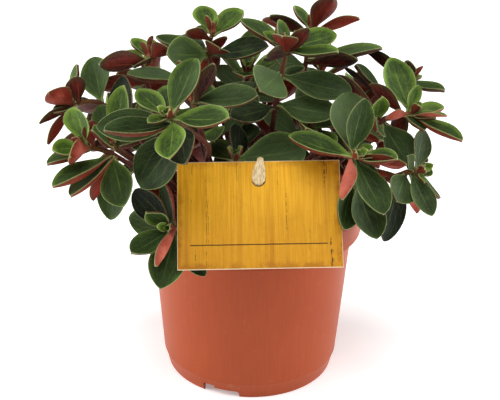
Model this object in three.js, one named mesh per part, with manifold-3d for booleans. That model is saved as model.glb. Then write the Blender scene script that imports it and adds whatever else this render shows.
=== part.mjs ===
// A house plant in a round plastic nursery pot, with a printed card tied to one of its stems.
// Millimetres, +Z up. The origin is on the pot's axis, on the surface that the pot stands on.
// The front, where the card hangs, looks along -Y.

import * as THREE from 'three';
import { mergeVertices } from 'three/addons/utils/BufferGeometryUtils.js';
import Module from 'manifold-3d';

const wasm = await Module();
wasm.setup();

// Driving dimensions

const GAP = 0.3;

const POT = {
  height: 97,
  rimRadius: 60,
  lipHeight: 84,
  lipRadius: 59.5,
  wallTopRadius: 55.1,
  bandHeight: 8.9,
  bandRadius: 48.9,
  bandStep: 0.35,
  footRadius: 46.9,
  footWall: 1.8,
  wall: 1.7,
  floorHeight: 5,
  floorThickness: 1.5,
  sides: 32,
};

const FOOT_GAP = {
  count: 3,
  firstAngle: -109,
  width: 20.5,
  height: 3.8,
  corner: 1.8,
  slotWidth: 7,
  slotHeight: 5.4,
  slotTurn: -8.5,
};

const SOIL = {
  topHeight: 86.5,
  lump: 1.5,
  sides: 20,
  rings: [40, 18],
  holeRadius: 2.6,
  holeSides: 4,
};

const STEM = {
  radius: 1.7,
  sides: 4,
  step: 15,
  rootHeight: 78.3,
  collarHeight: 87,
  riseHeight: 93,
};

const BLADE = {
  stations: [0, 0.38, 0.81],
  youngStations: [0, 0.54],
  youngLength: 18,
  petiole: 0.06,
  widest: 0.56,
  fullness: 0.6,
  petioleWidth: 2,
  petioleDepth: 1.6,
  midribDepth: 1.3,
  trough: 0.22,
  arch: -0.02,
  sink: 0.6,
  tier: 1.8,
  pace: 0.01,
  clearance: 0.8,
};

const CARD = {
  width: 82,
  height: 55,
  thickness: 0.8,
  lean: 38,
  turn: 2.1,
  x: 3.5,
  y: -50.6,
  z: 111.7,
};

// The card's half-round hole, flat side up
const HOLE = { radius: 3.4, fromTop: 9.9, sides: 8 };

const TIE = {
  width: 7,
  topWidth: 2.8,
  endWidth: 4.4,
  thickness: 0.7,
  overTop: 1.3,
  shoot: 'centre_front',
  ringShare: 0.55,
  ringRadius: 3.4,
  ringWall: 1.2,
  ringHeight: 4,
  ringSides: 16,
};

const YOUNG = { count: 2, long: 8.5, wide: 4.6, lean: 20 };

// The place that the plant is seen from in the photograph, with its pixels counted from the top left.
// Each shoot and leaf below is named by the pixel of its tip and by its depth or length in millimetres.

const VIEW = {
  focal: 1078,
  centreX: 250,
  centreY: 200,
  x: -1.3,
  y: -539,
  z: 338,
  tilt: 24.1,
  roll: 1.01,
};

const NEAR = -1;
const FAR = 1;

// The shoots that the photograph shows, each from its crown downwards

const SEEN_SHOOTS = [
  {
    name: 'front_left',
    soilX: -16,
    soilY: -16,
    bends: [{ x: 207, y: 163, depth: -25 }, { x: 208, y: 146, depth: -37 }],
    whorls: [
      { x: 169, y: 116, depth: -58, faceTo: -112, faceUp: 48, leaves: [
        { x: 194, y: 57, long: 33, wide: 17, side: FAR, show: 0.75 },
        { x: 229, y: 117, long: 30, wide: 15, side: NEAR, show: 0.7 },
        { x: 168, y: 157, long: 27, wide: 14.5, side: NEAR, show: 0.85 },
        { x: 137, y: 89, long: 23, wide: 12, side: FAR, show: 0.8 },
        { x: 163, y: 86, long: 20, wide: 10, side: FAR, show: 0.8 },
        { x: 176, y: 95, long: 13, wide: 8, side: FAR, show: 0.6 },
        { x: 148, y: 121, long: 12, wide: 7, side: NEAR, show: 0.6 },
      ] },
      { x: 176, y: 122, depth: -53, faceTo: -112, faceUp: 48, leaves: [
        { x: 104, y: 131, long: 37, wide: 15, side: NEAR, show: 0.6 },
        { x: 96, y: 126, long: 39, wide: 16.5, side: FAR, show: 0.95 },
        { x: 139, y: 187, long: 37, wide: 23, side: FAR, show: 0.85 },
        { x: 184, y: 163, long: 27, wide: 15, side: NEAR, show: 0.85 },
      ] },
    ],
  },
  {
    name: 'behind_left',
    soilX: -16,
    soilY: -6,
    whorls: [
      { x: 192, y: 99, depth: -28, faceTo: 100, faceUp: 70, leaves: [
        { x: 257, y: 94, long: 34, wide: 15.5, side: NEAR, show: 0.72 },
        { x: 214, y: 64, long: 26, wide: 12, side: NEAR, show: -0.6 },
        { x: 260, y: 84, long: 37, wide: 14, side: FAR, show: 0.6 },
      ] },
    ],
  },
  {
    name: 'left_inner',
    soilX: -26,
    soilY: -8,
    whorls: [
      { x: 111, y: 142, depth: -28, faceTo: 170, faceUp: 50, leaves: [
        { x: 122, y: 86, long: 31, wide: 13, side: NEAR, show: 0.8 },
        { x: 99, y: 105, long: 23, wide: 14, side: FAR, show: 0.85 },
        { x: 94, y: 129, long: 20, wide: 12, side: NEAR, show: 0.6 },
        { x: 136, y: 101, long: 26, wide: 11, side: FAR, show: 0.6 },
      ] },
      { x: 114, y: 147, depth: -26, faceTo: 170, faceUp: 50, leaves: [
        { x: 124, y: 76, long: 38, wide: 16, side: FAR, show: 0.75 },
      ] },
    ],
  },
  {
    name: 'far_left',
    soilX: -34,
    soilY: 0,
    whorls: [
      { x: 70, y: 105, depth: -12, faceTo: 150, faceUp: 45, leaves: [
        { x: 75, y: 64, long: 23, wide: 9, side: FAR, show: 0.5 },
        { x: 48, y: 92, long: 20, wide: 14, side: NEAR, show: -0.8 },
        { x: 75, y: 76, long: 18, wide: 11, side: NEAR, show: -0.7 },
        { x: 76, y: 88, long: 12, wide: 7, side: FAR, show: 0.6 },
        { x: 38, y: 122, long: 21, wide: 7.5, side: NEAR, show: -0.5 },
        { x: 53, y: 111.5, long: 13, wide: 8, side: NEAR, show: 0.6 },
        { x: 47, y: 144, long: 25, wide: 9, side: NEAR, show: -0.6 },
      ] },
      { x: 99, y: 103, depth: -14, faceTo: 150, faceUp: 45, leaves: [
        { x: 91, y: 58, long: 27, wide: 17, side: FAR, show: 0.85 },
        { x: 79, y: 108, long: 22, wide: 13, side: FAR, show: -0.7 },
      ] },
    ],
  },
  {
    name: 'left_low',
    soilX: -30,
    soilY: -18,
    whorls: [
      { x: 83, y: 146, depth: -36, faceTo: 160, faceUp: 45, leaves: [
        { x: 73, y: 108, long: 21, wide: 17, side: NEAR, show: 0.9 },
        { x: 68, y: 156, long: 18, wide: 13, side: NEAR, show: -0.7 },
        { x: 91, y: 120, long: 17, wide: 12, side: NEAR, show: -0.7 },
        { x: 53, y: 148.5, long: 17, wide: 10, side: NEAR, show: 0.6 },
        { x: 81, y: 127, long: 11, wide: 7, side: FAR, show: -0.5 },
        { x: 46, y: 162, long: 23, wide: 11, side: NEAR, show: 0.5 },
      ] },
      { x: 110, y: 153, depth: -36, faceTo: -100, faceUp: 50, leaves: [
        { x: 52, y: 186, long: 34, wide: 17, side: NEAR, show: 0.5 },
        { x: 69, y: 194, long: 30, wide: 14, side: NEAR, show: 0.55 },
        { x: 91, y: 199, long: 27, wide: 13, side: FAR, show: -0.5 },
        { x: 122, y: 206, long: 29, wide: 18, side: NEAR, show: 0.9 },
        { x: 110, y: 220, long: 35, wide: 17, side: FAR, show: 0.8 },
      ] },
    ],
  },
  {
    name: 'hanging_left',
    soilX: -27,
    soilY: -33,
    bends: [{ x: 184, y: 226, depth: -43 }],
    whorls: [
      { x: 171, y: 228, depth: -52, faceTo: -115, faceUp: 25, leaves: [
        { x: 146, y: 213, long: 17, wide: 10, side: NEAR, show: 0.75 },
        { x: 163, y: 183, long: 24, wide: 12, side: FAR, show: 0.68 },
        { x: 128, y: 219, long: 25, wide: 16, side: FAR, show: 0.88 },
        { x: 131, y: 252, long: 25, wide: 14, side: NEAR, show: 0.8 },
        { x: 154, y: 266, long: 26, wide: 9, side: NEAR, show: -0.5 },
        { x: 160, y: 288, long: 31, wide: 18, side: NEAR, show: 0.95 },
        { x: 134, y: 190, long: 27, wide: 16, side: FAR, show: 0.6 },
        { x: 205, y: 276, long: 27, wide: 12, side: FAR, show: 0.95 },
      ] },
    ],
  },
  {
    name: 'top_left',
    soilX: -22,
    soilY: 8,
    whorls: [
      { x: 150, y: 56, depth: 8, faceTo: 110, faceUp: 60, leaves: [
        { x: 134, y: 37, long: 15, wide: 11, side: FAR, show: 0.7 },
        { x: 151, y: 36, long: 12, wide: 8, side: FAR, show: -0.5 },
        { x: 154, y: 40, long: 9, wide: 7, side: FAR, show: 0.8 },
        { x: 168, y: 46, long: 13, wide: 12, side: NEAR, show: -0.6 },
        { x: 98, y: 63, long: 28, wide: 13, side: NEAR, show: -0.65 },
        { x: 124, y: 51, long: 16, wide: 9, side: FAR, show: 0.7 },
        { x: 133, y: 65, long: 14, wide: 9, side: NEAR, show: 0.4 },
      ] },
      { x: 146, y: 80, depth: 8, faceTo: 110, faceUp: 60, leaves: [
        { x: 97, y: 87, long: 29, wide: 13, side: NEAR, show: -0.7 },
      ] },
    ],
  },
  {
    name: 'top_middle',
    soilX: -6,
    soilY: 14,
    whorls: [
      { x: 213, y: 31, depth: 22, faceTo: 120, faceUp: 80, leaves: [
        { x: 201, y: 5, long: 17, wide: 13, side: FAR, show: 0.87 },
        { x: 241, y: 9, long: 22, wide: 15, side: FAR, show: 0.7 },
        { x: 186, y: 31, long: 17, wide: 10, side: NEAR, show: -0.6 },
        { x: 194, y: 29, long: 12, wide: 8, side: FAR, show: 0.6 },
      ] },
      { x: 209, y: 50, depth: 20, faceTo: 120, faceUp: 80, leaves: [
        { x: 156, y: 37, long: 30, wide: 14, side: FAR, show: 0.5 },
        { x: 168, y: 53, long: 26, wide: 18, side: NEAR, show: 0.85 },
        { x: 181, y: 34, long: 19, wide: 11, side: FAR, show: 0.6 },
        { x: 221, y: 47, long: 18, wide: 14, side: NEAR, show: -0.7 },
        { x: 268, y: 45, long: 33, wide: 14, side: NEAR, show: 0.65 },
      ] },
    ],
  },
  {
    name: 'left_middle',
    soilX: -20,
    soilY: 2,
    whorls: [
      { x: 187, y: 78, depth: -6, faceTo: 120, faceUp: 75, leaves: [
        { x: 127, y: 73, long: 29, wide: 14, side: NEAR, show: 0.52 },
      ] },
    ],
  },
  {
    name: 'top_centre',
    soilX: 6,
    soilY: 6,
    whorls: [
      { x: 288, y: 46, depth: 8, faceTo: 90, faceUp: 80, leaves: [
        { x: 241, y: 18, long: 31, wide: 13, side: FAR, show: 0.57 },
        { x: 264, y: 31, long: 16, wide: 10, side: FAR, show: 0.6 },
        { x: 281, y: 19, long: 16, wide: 9, side: FAR, show: 0.7 },
        { x: 277, y: 27, long: 12, wide: 8, side: FAR, show: 0.6 },
        { x: 283, y: 34, long: 16, wide: 14, side: NEAR, show: -0.9 },
        { x: 309, y: 28, long: 16, wide: 11, side: NEAR, show: -0.55 },
        { x: 337, y: 33, long: 28, wide: 13, side: FAR, show: 0.62 },
        { x: 338, y: 51, long: 27, wide: 13, side: NEAR, show: 0.75 },
        { x: 265, y: 56, long: 20, wide: 12, side: NEAR, show: -0.6 },
      ] },
      { x: 282, y: 71, depth: 4, faceTo: 90, faceUp: 80, leaves: [
        { x: 261, y: 90, long: 28, wide: 22, side: NEAR, show: 0.95 },
        { x: 352, y: 92, long: 38, wide: 16, side: NEAR, show: 0.85 },
        { x: 303, y: 67, long: 16, wide: 9, side: FAR, show: 0.6 },
      ] },
      { x: 276, y: 102, depth: 0, faceTo: 90, faceUp: 80, leaves: [
        { x: 335, y: 113, long: 32, wide: 17, side: NEAR, show: 0.83 },
        { x: 231, y: 116, long: 27, wide: 17, side: NEAR, show: 0.75 },
      ] },
    ],
  },
  {
    name: 'top_right',
    soilX: 16,
    soilY: 20,
    whorls: [
      { x: 312, y: 28, depth: 34, faceTo: 70, faceUp: 55, leaves: [
        { x: 333, y: -4, long: 25, wide: 15, side: NEAR, show: -0.8 },
        { x: 359, y: 16, long: 27, wide: 12, side: NEAR, show: -0.45 },
        { x: 270, y: 15, long: 25, wide: 13, side: NEAR, show: -0.5 },
        { x: 295, y: 5, long: 17, wide: 9, side: FAR, show: 0.6 },
        { x: 263, y: 19, long: 28, wide: 12, side: FAR, show: -0.5 },
      ] },
      { x: 307, y: 57, depth: 32, faceTo: 70, faceUp: 55, leaves: [
        { x: 382, y: 46, long: 38, wide: 14, side: FAR, show: 0.48 },
        { x: 358, y: 60, long: 27, wide: 13, side: NEAR, show: -0.5 },
        { x: 277, y: 60, long: 18, wide: 12, side: NEAR, show: 0.8 },
      ] },
    ],
  },
  {
    name: 'front_right',
    soilX: 18,
    soilY: -14,
    bends: [{ x: 312, y: 156, depth: -26 }, { x: 333, y: 154, depth: -31 }],
    whorls: [
      { x: 356, y: 157, depth: -48, faceTo: -70, faceUp: 42, leaves: [
        { x: 289, y: 134, long: 36, wide: 15, side: FAR, show: 0.65 },
        { x: 349, y: 92, long: 34, wide: 22, side: FAR, show: 0.95 },
        { x: 366, y: 99, long: 30, wide: 15, side: FAR, show: 0.8 },
        { x: 346, y: 136, long: 14, wide: 8, side: FAR, show: 0.5 },
        { x: 397, y: 157, long: 22, wide: 12, side: NEAR, show: 0.6 },
        { x: 407, y: 163, long: 26, wide: 9, side: NEAR, show: -0.5 },
        { x: 385, y: 213, long: 32, wide: 17, side: NEAR, show: 0.88 },
        { x: 343, y: 200, long: 24, wide: 14, side: NEAR, show: -0.4 },
        { x: 373, y: 146, long: 11, wide: 6, side: FAR, show: 0.5 },
        { x: 372, y: 157, long: 9, wide: 6, side: NEAR, show: 0.5 },
      ] },
    ],
  },
  {
    name: 'right_low',
    soilX: 22,
    soilY: -16,
    whorls: [
      { x: 357, y: 180, depth: -40, faceTo: -60, faceUp: 30, leaves: [
        { x: 378, y: 238, long: 32, wide: 17, side: NEAR, show: 0.85 },
        { x: 344, y: 229, long: 25, wide: 14, side: NEAR, show: 0.8 },
      ] },
    ],
  },
  {
    name: 'right',
    soilX: 30,
    soilY: 2,
    whorls: [
      { x: 413, y: 113, depth: -8, faceTo: -30, faceUp: 60, leaves: [
        { x: 391, y: 57, long: 33, wide: 17, side: FAR, show: 0.9 },
        { x: 419, y: 85, long: 16, wide: 8, side: FAR, show: 0.8 },
        { x: 444, y: 106, long: 17, wide: 11, side: FAR, show: 0.6 },
        { x: 447, y: 113, long: 19, wide: 7.5, side: NEAR, show: -0.4 },
        { x: 436, y: 117, long: 13, wide: 8, side: NEAR, show: 0.6 },
        { x: 425, y: 129, long: 14, wide: 9, side: NEAR, show: 0.75 },
        { x: 463, y: 139, long: 31, wide: 13, side: NEAR, show: 0.5 },
        { x: 385, y: 117, long: 17, wide: 8, side: NEAR, show: -0.6 },
        { x: 371, y: 83, long: 26, wide: 12, side: NEAR, show: -0.6 },
      ] },
      { x: 383, y: 120, depth: -10, faceTo: -30, faceUp: 60, leaves: [
        { x: 409, y: 163, long: 26, wide: 18, side: NEAR, show: 0.9 },
        { x: 378, y: 131, long: 14, wide: 11, side: NEAR, show: 0.6 },
        { x: 383, y: 97, long: 14, wide: 10, side: NEAR, show: 0.8 },
        { x: 337, y: 75, long: 36, wide: 13, side: FAR, show: -0.55 },
      ] },
    ],
  },
  {
    name: 'right_top',
    soilX: 26,
    soilY: 16,
    whorls: [
      { x: 411, y: 79, depth: 22, faceTo: 40, faceUp: 60, leaves: [
        { x: 409, y: 60, long: 12, wide: 9, side: NEAR, show: -0.7 },
        { x: 421, y: 75, long: 9, wide: 6, side: FAR, show: 0.6 },
        { x: 445, y: 89, long: 20, wide: 11, side: NEAR, show: 0.45 },
        { x: 369, y: 50, long: 25, wide: 12, side: FAR, show: -0.5 },
        { x: 408, y: 86, long: 14, wide: 10, side: NEAR, show: -0.6 },
      ] },
      { x: 384, y: 91, depth: 18, faceTo: 40, faceUp: 60, leaves: [
        { x: 356, y: 64, long: 20, wide: 11, side: FAR, show: 0.4 },
        { x: 347, y: 66, long: 22, wide: 12, side: FAR, show: -0.4 },
      ] },
    ],
  },
  {
    name: 'right_side',
    soilX: 28,
    soilY: -14,
    whorls: [
      { x: 419, y: 171, depth: -22, faceTo: -45, faceUp: 35, leaves: [
        { x: 425, y: 129, long: 23, wide: 13, side: FAR, show: 0.82 },
        { x: 408, y: 156, long: 13, wide: 8, side: NEAR, show: 0.7 },
        { x: 431, y: 168, long: 10, wide: 10, side: FAR, show: 0.8 },
        { x: 425, y: 182, long: 8, wide: 5, side: NEAR, show: 0.5 },
        { x: 440, y: 198, long: 20, wide: 10, side: FAR, show: 0.6 },
        { x: 433, y: 215, long: 25, wide: 12, side: NEAR, show: 0.85 },
      ] },
      { x: 408, y: 172, depth: -22, faceTo: -45, faceUp: 35, leaves: [
        { x: 399, y: 201, long: 20, wide: 17, side: NEAR, show: 0.87 },
        { x: 386, y: 242, long: 37, wide: 15, side: FAR, show: 0.77 },
        { x: 419, y: 212, long: 22, wide: 11, side: FAR, show: -0.4 },
      ] },
    ],
  },
  {
    name: 'centre_front',
    soilX: 2,
    soilY: -14,
    whorls: [
      { x: 235, y: 158, depth: -22, faceTo: -90, faceUp: 65, leaves: [
        { x: 306, y: 149, long: 37, wide: 22, side: FAR, show: 0.97 },
        { x: 210, y: 142, long: 24, wide: 15, side: FAR, show: 0.9 },
        { x: 237, y: 124, long: 22, wide: 14, side: FAR, show: 0.7 },
      ] },
    ],
  },
];

// The shoots inside the plant and at its rear, each with its crown's place in millimetres.
// Their whorls follow one rule, each turned from the one below.

const RULE_SHOOTS = [
  { name: 'inner_left', soilX: -8, soilY: 2, x: -22, y: 2, z: 142, faceTo: -120, faceUp: 55, whorls: 2 },
  { name: 'inner_right', soilX: 10, soilY: -2, x: 30, y: 4, z: 140, faceTo: -60, faceUp: 55, whorls: 2 },
  { name: 'inner_far_left', soilX: -31, soilY: 8, x: -55, y: 6, z: 135, faceTo: -160, faceUp: 50, whorls: 2 },
  { name: 'inner_far_right', soilX: 33, soilY: 9, x: 58, y: 10, z: 134, faceTo: -20, faceUp: 50, whorls: 2 },
  { name: 'inner_middle', soilX: 2, soilY: 24, x: -4, y: 34, z: 160, faceTo: -90, faceUp: 70, whorls: 2 },
  { name: 'rear_left_side', soilX: -38, soilY: 14, x: -86, y: 30, z: 126, faceTo: 160, faceUp: 35, whorls: 3 },
  { name: 'rear_left', soilX: -22, soilY: 28, x: -62, y: 56, z: 144, faceTo: 130, faceUp: 50, whorls: 3 },
  { name: 'rear_left_low', soilX: -26, soilY: 40, x: -52, y: 64, z: 108, faceTo: 125, faceUp: 15, whorls: 2 },
  { name: 'rear_left_top', soilX: -8, soilY: 34, x: -32, y: 50, z: 160, faceTo: 110, faceUp: 65, whorls: 3 },
  { name: 'rear_middle', soilX: 6, soilY: 40, x: 6, y: 65, z: 140, faceTo: 90, faceUp: 45, whorls: 3 },
  { name: 'rear_middle_low', soilX: 2, soilY: 49, x: 4, y: 69, z: 108, faceTo: 90, faceUp: 15, whorls: 2 },
  { name: 'rear_right_top', soilX: 18, soilY: 34, x: 38, y: 48, z: 158, faceTo: 70, faceUp: 65, whorls: 3 },
  { name: 'rear_right', soilX: 30, soilY: 26, x: 60, y: 58, z: 138, faceTo: 50, faceUp: 50, whorls: 3 },
  { name: 'rear_right_low', soilX: 30, soilY: 38, x: 56, y: 60, z: 108, faceTo: 50, faceUp: 15, whorls: 2 },
  { name: 'rear_right_side', soilX: 41, soilY: 12, x: 78, y: 32, z: 117, faceTo: 25, faceUp: 30, whorls: 3 },
];

const RULE_WHORLS = [
  { below: 0, count: 4, long: 22, wide: 12.5, lean: 58 },
  { below: 12, count: 4, long: 28, wide: 16, lean: 80 },
  { below: 27, count: 3, long: 31, wide: 17, lean: 95 },
];

const radians = THREE.MathUtils.degToRad;
const EYE = new THREE.Vector3(VIEW.x, VIEW.y, VIEW.z);

// The unit line of sight through a pixel
function sightLine(pixelX, pixelY) {
  const roll = radians(VIEW.roll);
  const right = pixelX - VIEW.centreX;
  const down = pixelY - VIEW.centreY;
  const across = (right * Math.cos(roll) + down * Math.sin(roll)) / VIEW.focal;
  const below = (down * Math.cos(roll) - right * Math.sin(roll)) / VIEW.focal;
  const tilt = radians(VIEW.tilt);
  const forward = Math.cos(tilt) - below * Math.sin(tilt);
  const up = -Math.sin(tilt) - below * Math.cos(tilt);
  return new THREE.Vector3(across, forward, up).normalize();
}

// The point behind a pixel at a distance along +Y from the pot's axis
function seen(pixelX, pixelY, depth) {
  const line = sightLine(pixelX, pixelY);
  return EYE.clone().addScaledVector(line, (depth - EYE.y) / line.y);
}

// The point behind a pixel at a distance from a base, on the near or the far side of it
function reached(base, pixelX, pixelY, distance, side) {
  const line = sightLine(pixelX, pixelY);
  const foot = EYE.clone().addScaledVector(line, line.dot(base.clone().sub(EYE)));
  const spare = distance ** 2 - foot.distanceToSquared(base);
  return foot.addScaledVector(line, side * Math.sqrt(Math.max(spare, 0)));
}

// A unit vector from its bearing, anticlockwise from +X, and its rise
function direction(bearing, rise) {
  const level = Math.cos(radians(rise));
  return new THREE.Vector3(
    level * Math.cos(radians(bearing)),
    level * Math.sin(radians(bearing)),
    Math.sin(radians(rise)),
  );
}

// A seeded sequence of numbers, the same in each build
class Dice {
  constructor(seed) {
    this.state = seed;
  }

  roll() {
    this.state = (this.state * 48271) % 2147483647;
    return this.state / 2147483647;
  }

  around(middle, spread) {
    return middle + spread * (2 * this.roll() - 1);
  }
}

// The way that an upper face looks where the photograph shows a share of its full width,
// or of its underside's where the share is negative, leant to the side of its whorl's axis
function facing(base, tip, share, axis) {
  const along = tip.clone().sub(base).normalize();
  const eyeward = EYE.clone().sub(base);
  eyeward.addScaledVector(along, -eyeward.dot(along)).normalize();
  const aside = along.cross(eyeward);
  const leant = Math.sqrt(1 - share ** 2) * (aside.dot(axis) < 0 ? -1 : 1);
  return eyeward.multiplyScalar(share).addScaledVector(aside, leant);
}

// Leaf blades

const OUTLINE_POWER = Math.log(0.5) / Math.log(BLADE.widest);

// Half the width at a share of the length, from 0 at both ends of the blade to 1 where it is widest
function outline(share) {
  const inside = Math.min(Math.max((share - BLADE.petiole) / (1 - BLADE.petiole), 0), 1);
  return Math.sin(Math.PI * inside ** OUTLINE_POWER) ** BLADE.fullness;
}

class Blade {
  constructor(base, tip, wide, facing, turn) {
    this.base = base;
    this.long = tip.distanceTo(base);
    this.wide = wide;
    this.along = tip.clone().sub(base).normalize();
    this.normal = facing.clone().addScaledVector(this.along, -facing.dot(this.along)).normalize();
    this.normal.applyAxisAngle(this.along, radians(turn));
    this.across = this.along.clone().cross(this.normal);
    this.deep = BLADE.midribDepth * (this.wide < 9 ? 0.8 : 1);
  }

  halfWidth(share) {
    const blade = (this.wide / 2) * outline(share);
    return share < 0.3 ? Math.max(blade, BLADE.petioleWidth / 2) : blade;
  }

  // How far the blade arches above its straight line, with both margins raised
  lift(share, side) {
    const arch = this.long * BLADE.arch * 4 * share * (1 - share);
    return arch + BLADE.trough * this.halfWidth(share) * Math.abs(side) ** 1.5;
  }

  point(share, side, below) {
    return this.base.clone()
      .addScaledVector(this.along, this.long * share)
      .addScaledVector(this.across, this.halfWidth(share) * side)
      .addScaledVector(this.normal, this.lift(share, side) - below);
  }

  // Rings of three corners, at both margins and below the midrib, drawn out to the tip
  solid() {
    const stations = this.long < BLADE.youngLength ? BLADE.youngStations : BLADE.stations;
    const points = [];
    for (const share of stations) {
      const below = share === 0 ? BLADE.petioleDepth : this.deep;
      points.push(this.point(share, -1, 0), this.point(share, 0, below), this.point(share, 1, 0));
    }
    points.push(this.point(1, 0, 0));
    const faces = [[0, 1, 2]];
    for (let ring = 0; ring + 3 < points.length - 1; ring += 3) {
      for (let side = 0; side < 3; side += 1) {
        const a = ring + side;
        const b = ring + ((side + 1) % 3);
        faces.push([a, b + 3, b], [a, a + 3, b + 3]);
      }
    }
    const last = points.length - 4;
    for (let side = 0; side < 3; side += 1) {
      faces.push([last + side, points.length - 1, last + ((side + 1) % 3)]);
    }
    return solidOf(points.flatMap((point) => point.toArray()), faces.flat());
  }

  // Points all over the blade between its faces, from some fourteenths of its length on
  samples(first) {
    const points = [];
    for (let step = first; step <= 14; step += 1) {
      for (let side = -3; side <= 3; side += 1) {
        points.push(this.point(step / 14, side / 3, this.deep / 2));
      }
    }
    return points;
  }

  // Whether a point is in the blade or nearer to it than a distance
  holds(point, distance) {
    const from = point.clone().sub(this.base);
    const share = from.dot(this.along) / this.long;
    if (share < 0 || share > 1 + distance / this.long) {
      return false;
    }
    const half = this.halfWidth(share) + distance;
    const side = Math.abs(from.dot(this.across)) / half;
    if (side > 1) {
      return false;
    }
    const top = from.dot(this.normal) - this.lift(Math.min(share, 1), 1);
    const bottom = from.dot(this.normal) - this.lift(Math.min(share, 1), side);
    return top < distance && bottom > -this.deep * (1 - side) - distance;
  }

  crosses(other, first) {
    if (this.base.distanceTo(other.base) > this.long + other.long + 2) {
      return false;
    }
    return this.samples(first).some((point) => other.holds(point, BLADE.clearance))
      || other.samples(first).some((point) => this.holds(point, BLADE.clearance));
  }
}

// Solids

function solidOf(vertices, triangles) {
  return new wasm.Manifold(new wasm.Mesh({
    numProp: 3,
    vertProperties: Float32Array.from(vertices),
    triVerts: Uint32Array.from(triangles),
  }));
}

function solidFrom(geometry) {
  const bare = geometry.clone();
  bare.deleteAttribute('normal');
  bare.deleteAttribute('uv');
  const merged = mergeVertices(bare, 1e-4);
  return solidOf(merged.attributes.position.array, merged.index.array);
}

// Keeps the outer skin of a joined solid, without the small closed hollows between its leaves
function filled(solid) {
  const bodies = solid.decompose().filter((body) => body.volume() > 0);
  return bodies.reduce((whole, body) => whole.add(body));
}

function geometryOf(solid) {
  const mesh = solid.getMesh();
  const geometry = new THREE.BufferGeometry();
  geometry.setAttribute('position', new THREE.BufferAttribute(mesh.vertProperties, 3));
  geometry.setIndex(new THREE.BufferAttribute(mesh.triVerts, 1));
  geometry.computeVertexNormals();
  return geometry;
}

function turned(profile, sides) {
  return new THREE.LatheGeometry(profile.map(([radius, height]) => new THREE.Vector2(radius, height)), sides)
    .rotateX(Math.PI / 2);
}

// Pot

function potBody() {
  const { footRadius, footWall, bandRadius, bandHeight, bandStep, wall, floorHeight, floorThickness } = POT;
  const { wallTopRadius, lipHeight, lipRadius, rimRadius, height, sides } = POT;
  const floorTop = floorHeight + floorThickness;
  return turned([
    [0, floorHeight],
    [footRadius - footWall - 0.3, floorHeight],
    [footRadius - footWall, 0],
    [footRadius, 0],
    [bandRadius, bandHeight],
    [bandRadius + bandStep, bandHeight + 0.4],
    [wallTopRadius, lipHeight],
    [lipRadius, lipHeight],
    [rimRadius, height - 1.5],
    [rimRadius - 0.4, height - 0.3],
    [rimRadius - 1.4, height],
    [rimRadius - 2.4, height - 0.4],
    [rimRadius - 2.8, height - 1.5],
    [rimRadius - 3, lipHeight + 2],
    [wallTopRadius - wall, lipHeight - 1],
    [bandRadius - wall, bandHeight],
    [bandRadius - wall - 1.2, floorTop],
    [0, floorTop],
  ], sides);
}

function archShape(width, height, corner) {
  const shape = new THREE.Shape();
  shape.moveTo(-width / 2, -1);
  shape.lineTo(width / 2, -1);
  shape.lineTo(width / 2, height - corner);
  shape.quadraticCurveTo(width / 2, height, width / 2 - corner, height);
  shape.lineTo(corner - width / 2, height);
  shape.quadraticCurveTo(-width / 2, height, -width / 2, height - corner);
  return shape;
}

// A shape pushed outwards from the pot's axis at a bearing, between two radii
function radialCutter(shape, bearing, from, to) {
  const outward = direction(bearing, 0);
  const up = new THREE.Vector3(0, 0, 1);
  const frame = new THREE.Matrix4().makeBasis(up.clone().cross(outward), up, outward);
  const settings = { depth: to - from, bevelEnabled: false, curveSegments: 2 };
  const geometry = new THREE.ExtrudeGeometry(shape, settings);
  return solidFrom(geometry.translate(0, 0, from).applyMatrix4(frame));
}

function pot() {
  let body = solidFrom(potBody());
  for (let place = 0; place < FOOT_GAP.count; place += 1) {
    const bearing = FOOT_GAP.firstAngle + (360 / FOOT_GAP.count) * place;
    const arch = archShape(FOOT_GAP.width, FOOT_GAP.height, FOOT_GAP.corner);
    const slot = archShape(FOOT_GAP.slotWidth, FOOT_GAP.slotHeight, 0.8);
    body = body.subtract(radialCutter(arch, bearing, POT.footRadius - 6, POT.footRadius + 6));
    const slotBearing = bearing + FOOT_GAP.slotTurn;
    body = body.subtract(radialCutter(slot, slotBearing, POT.footRadius - 6, POT.footRadius + 6));
  }
  return body;
}

// Soil

// The height of the soil's uneven top above or below its mean height
function lump(x, y) {
  const broad = Math.sin(0.23 * x + 1) * Math.cos(0.19 * y - 0.5);
  const narrow = Math.sin(0.41 * y + 0.29 * x);
  return SOIL.lump * (0.6 * broad + 0.4 * narrow);
}

function soil() {
  const { bandRadius, bandHeight, wall, wallTopRadius, lipHeight, floorHeight, floorThickness } = POT;
  const floorTop = floorHeight + floorThickness;
  const geometry = turned([
    [0, floorTop + GAP],
    [bandRadius - wall - 1.5, floorTop + GAP],
    [bandRadius - wall - GAP, bandHeight],
    [wallTopRadius - wall - GAP, lipHeight - 1],
    ...SOIL.rings.map((radius) => [radius, SOIL.topHeight]),
    [0, SOIL.topHeight],
  ], SOIL.sides);
  const places = geometry.attributes.position;
  for (let corner = 0; corner < places.count; corner += 1) {
    if (places.getZ(corner) > lipHeight) {
      places.setZ(corner, SOIL.topHeight + lump(places.getX(corner), places.getY(corner)));
    }
  }
  return solidFrom(geometry);
}

function soilHole(x, y) {
  const depth = 20;
  const geometry = new THREE.CylinderGeometry(SOIL.holeRadius, SOIL.holeRadius, depth, SOIL.holeSides);
  return solidFrom(geometry.rotateX(Math.PI / 2).translate(x, y, STEM.rootHeight - GAP + depth / 2));
}

// Card and tie

const CARD_FRAME = (() => {
  const up = new THREE.Vector3(0, Math.sin(radians(CARD.lean)), Math.cos(radians(CARD.lean)));
  const front = new THREE.Vector3(1, 0, 0).cross(up);
  const frame = new THREE.Matrix4().makeBasis(new THREE.Vector3(1, 0, 0), up, front);
  frame.multiply(new THREE.Matrix4().makeRotationZ(radians(CARD.turn)));
  return frame.setPosition(CARD.x, CARD.y, CARD.z);
})();

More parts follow.
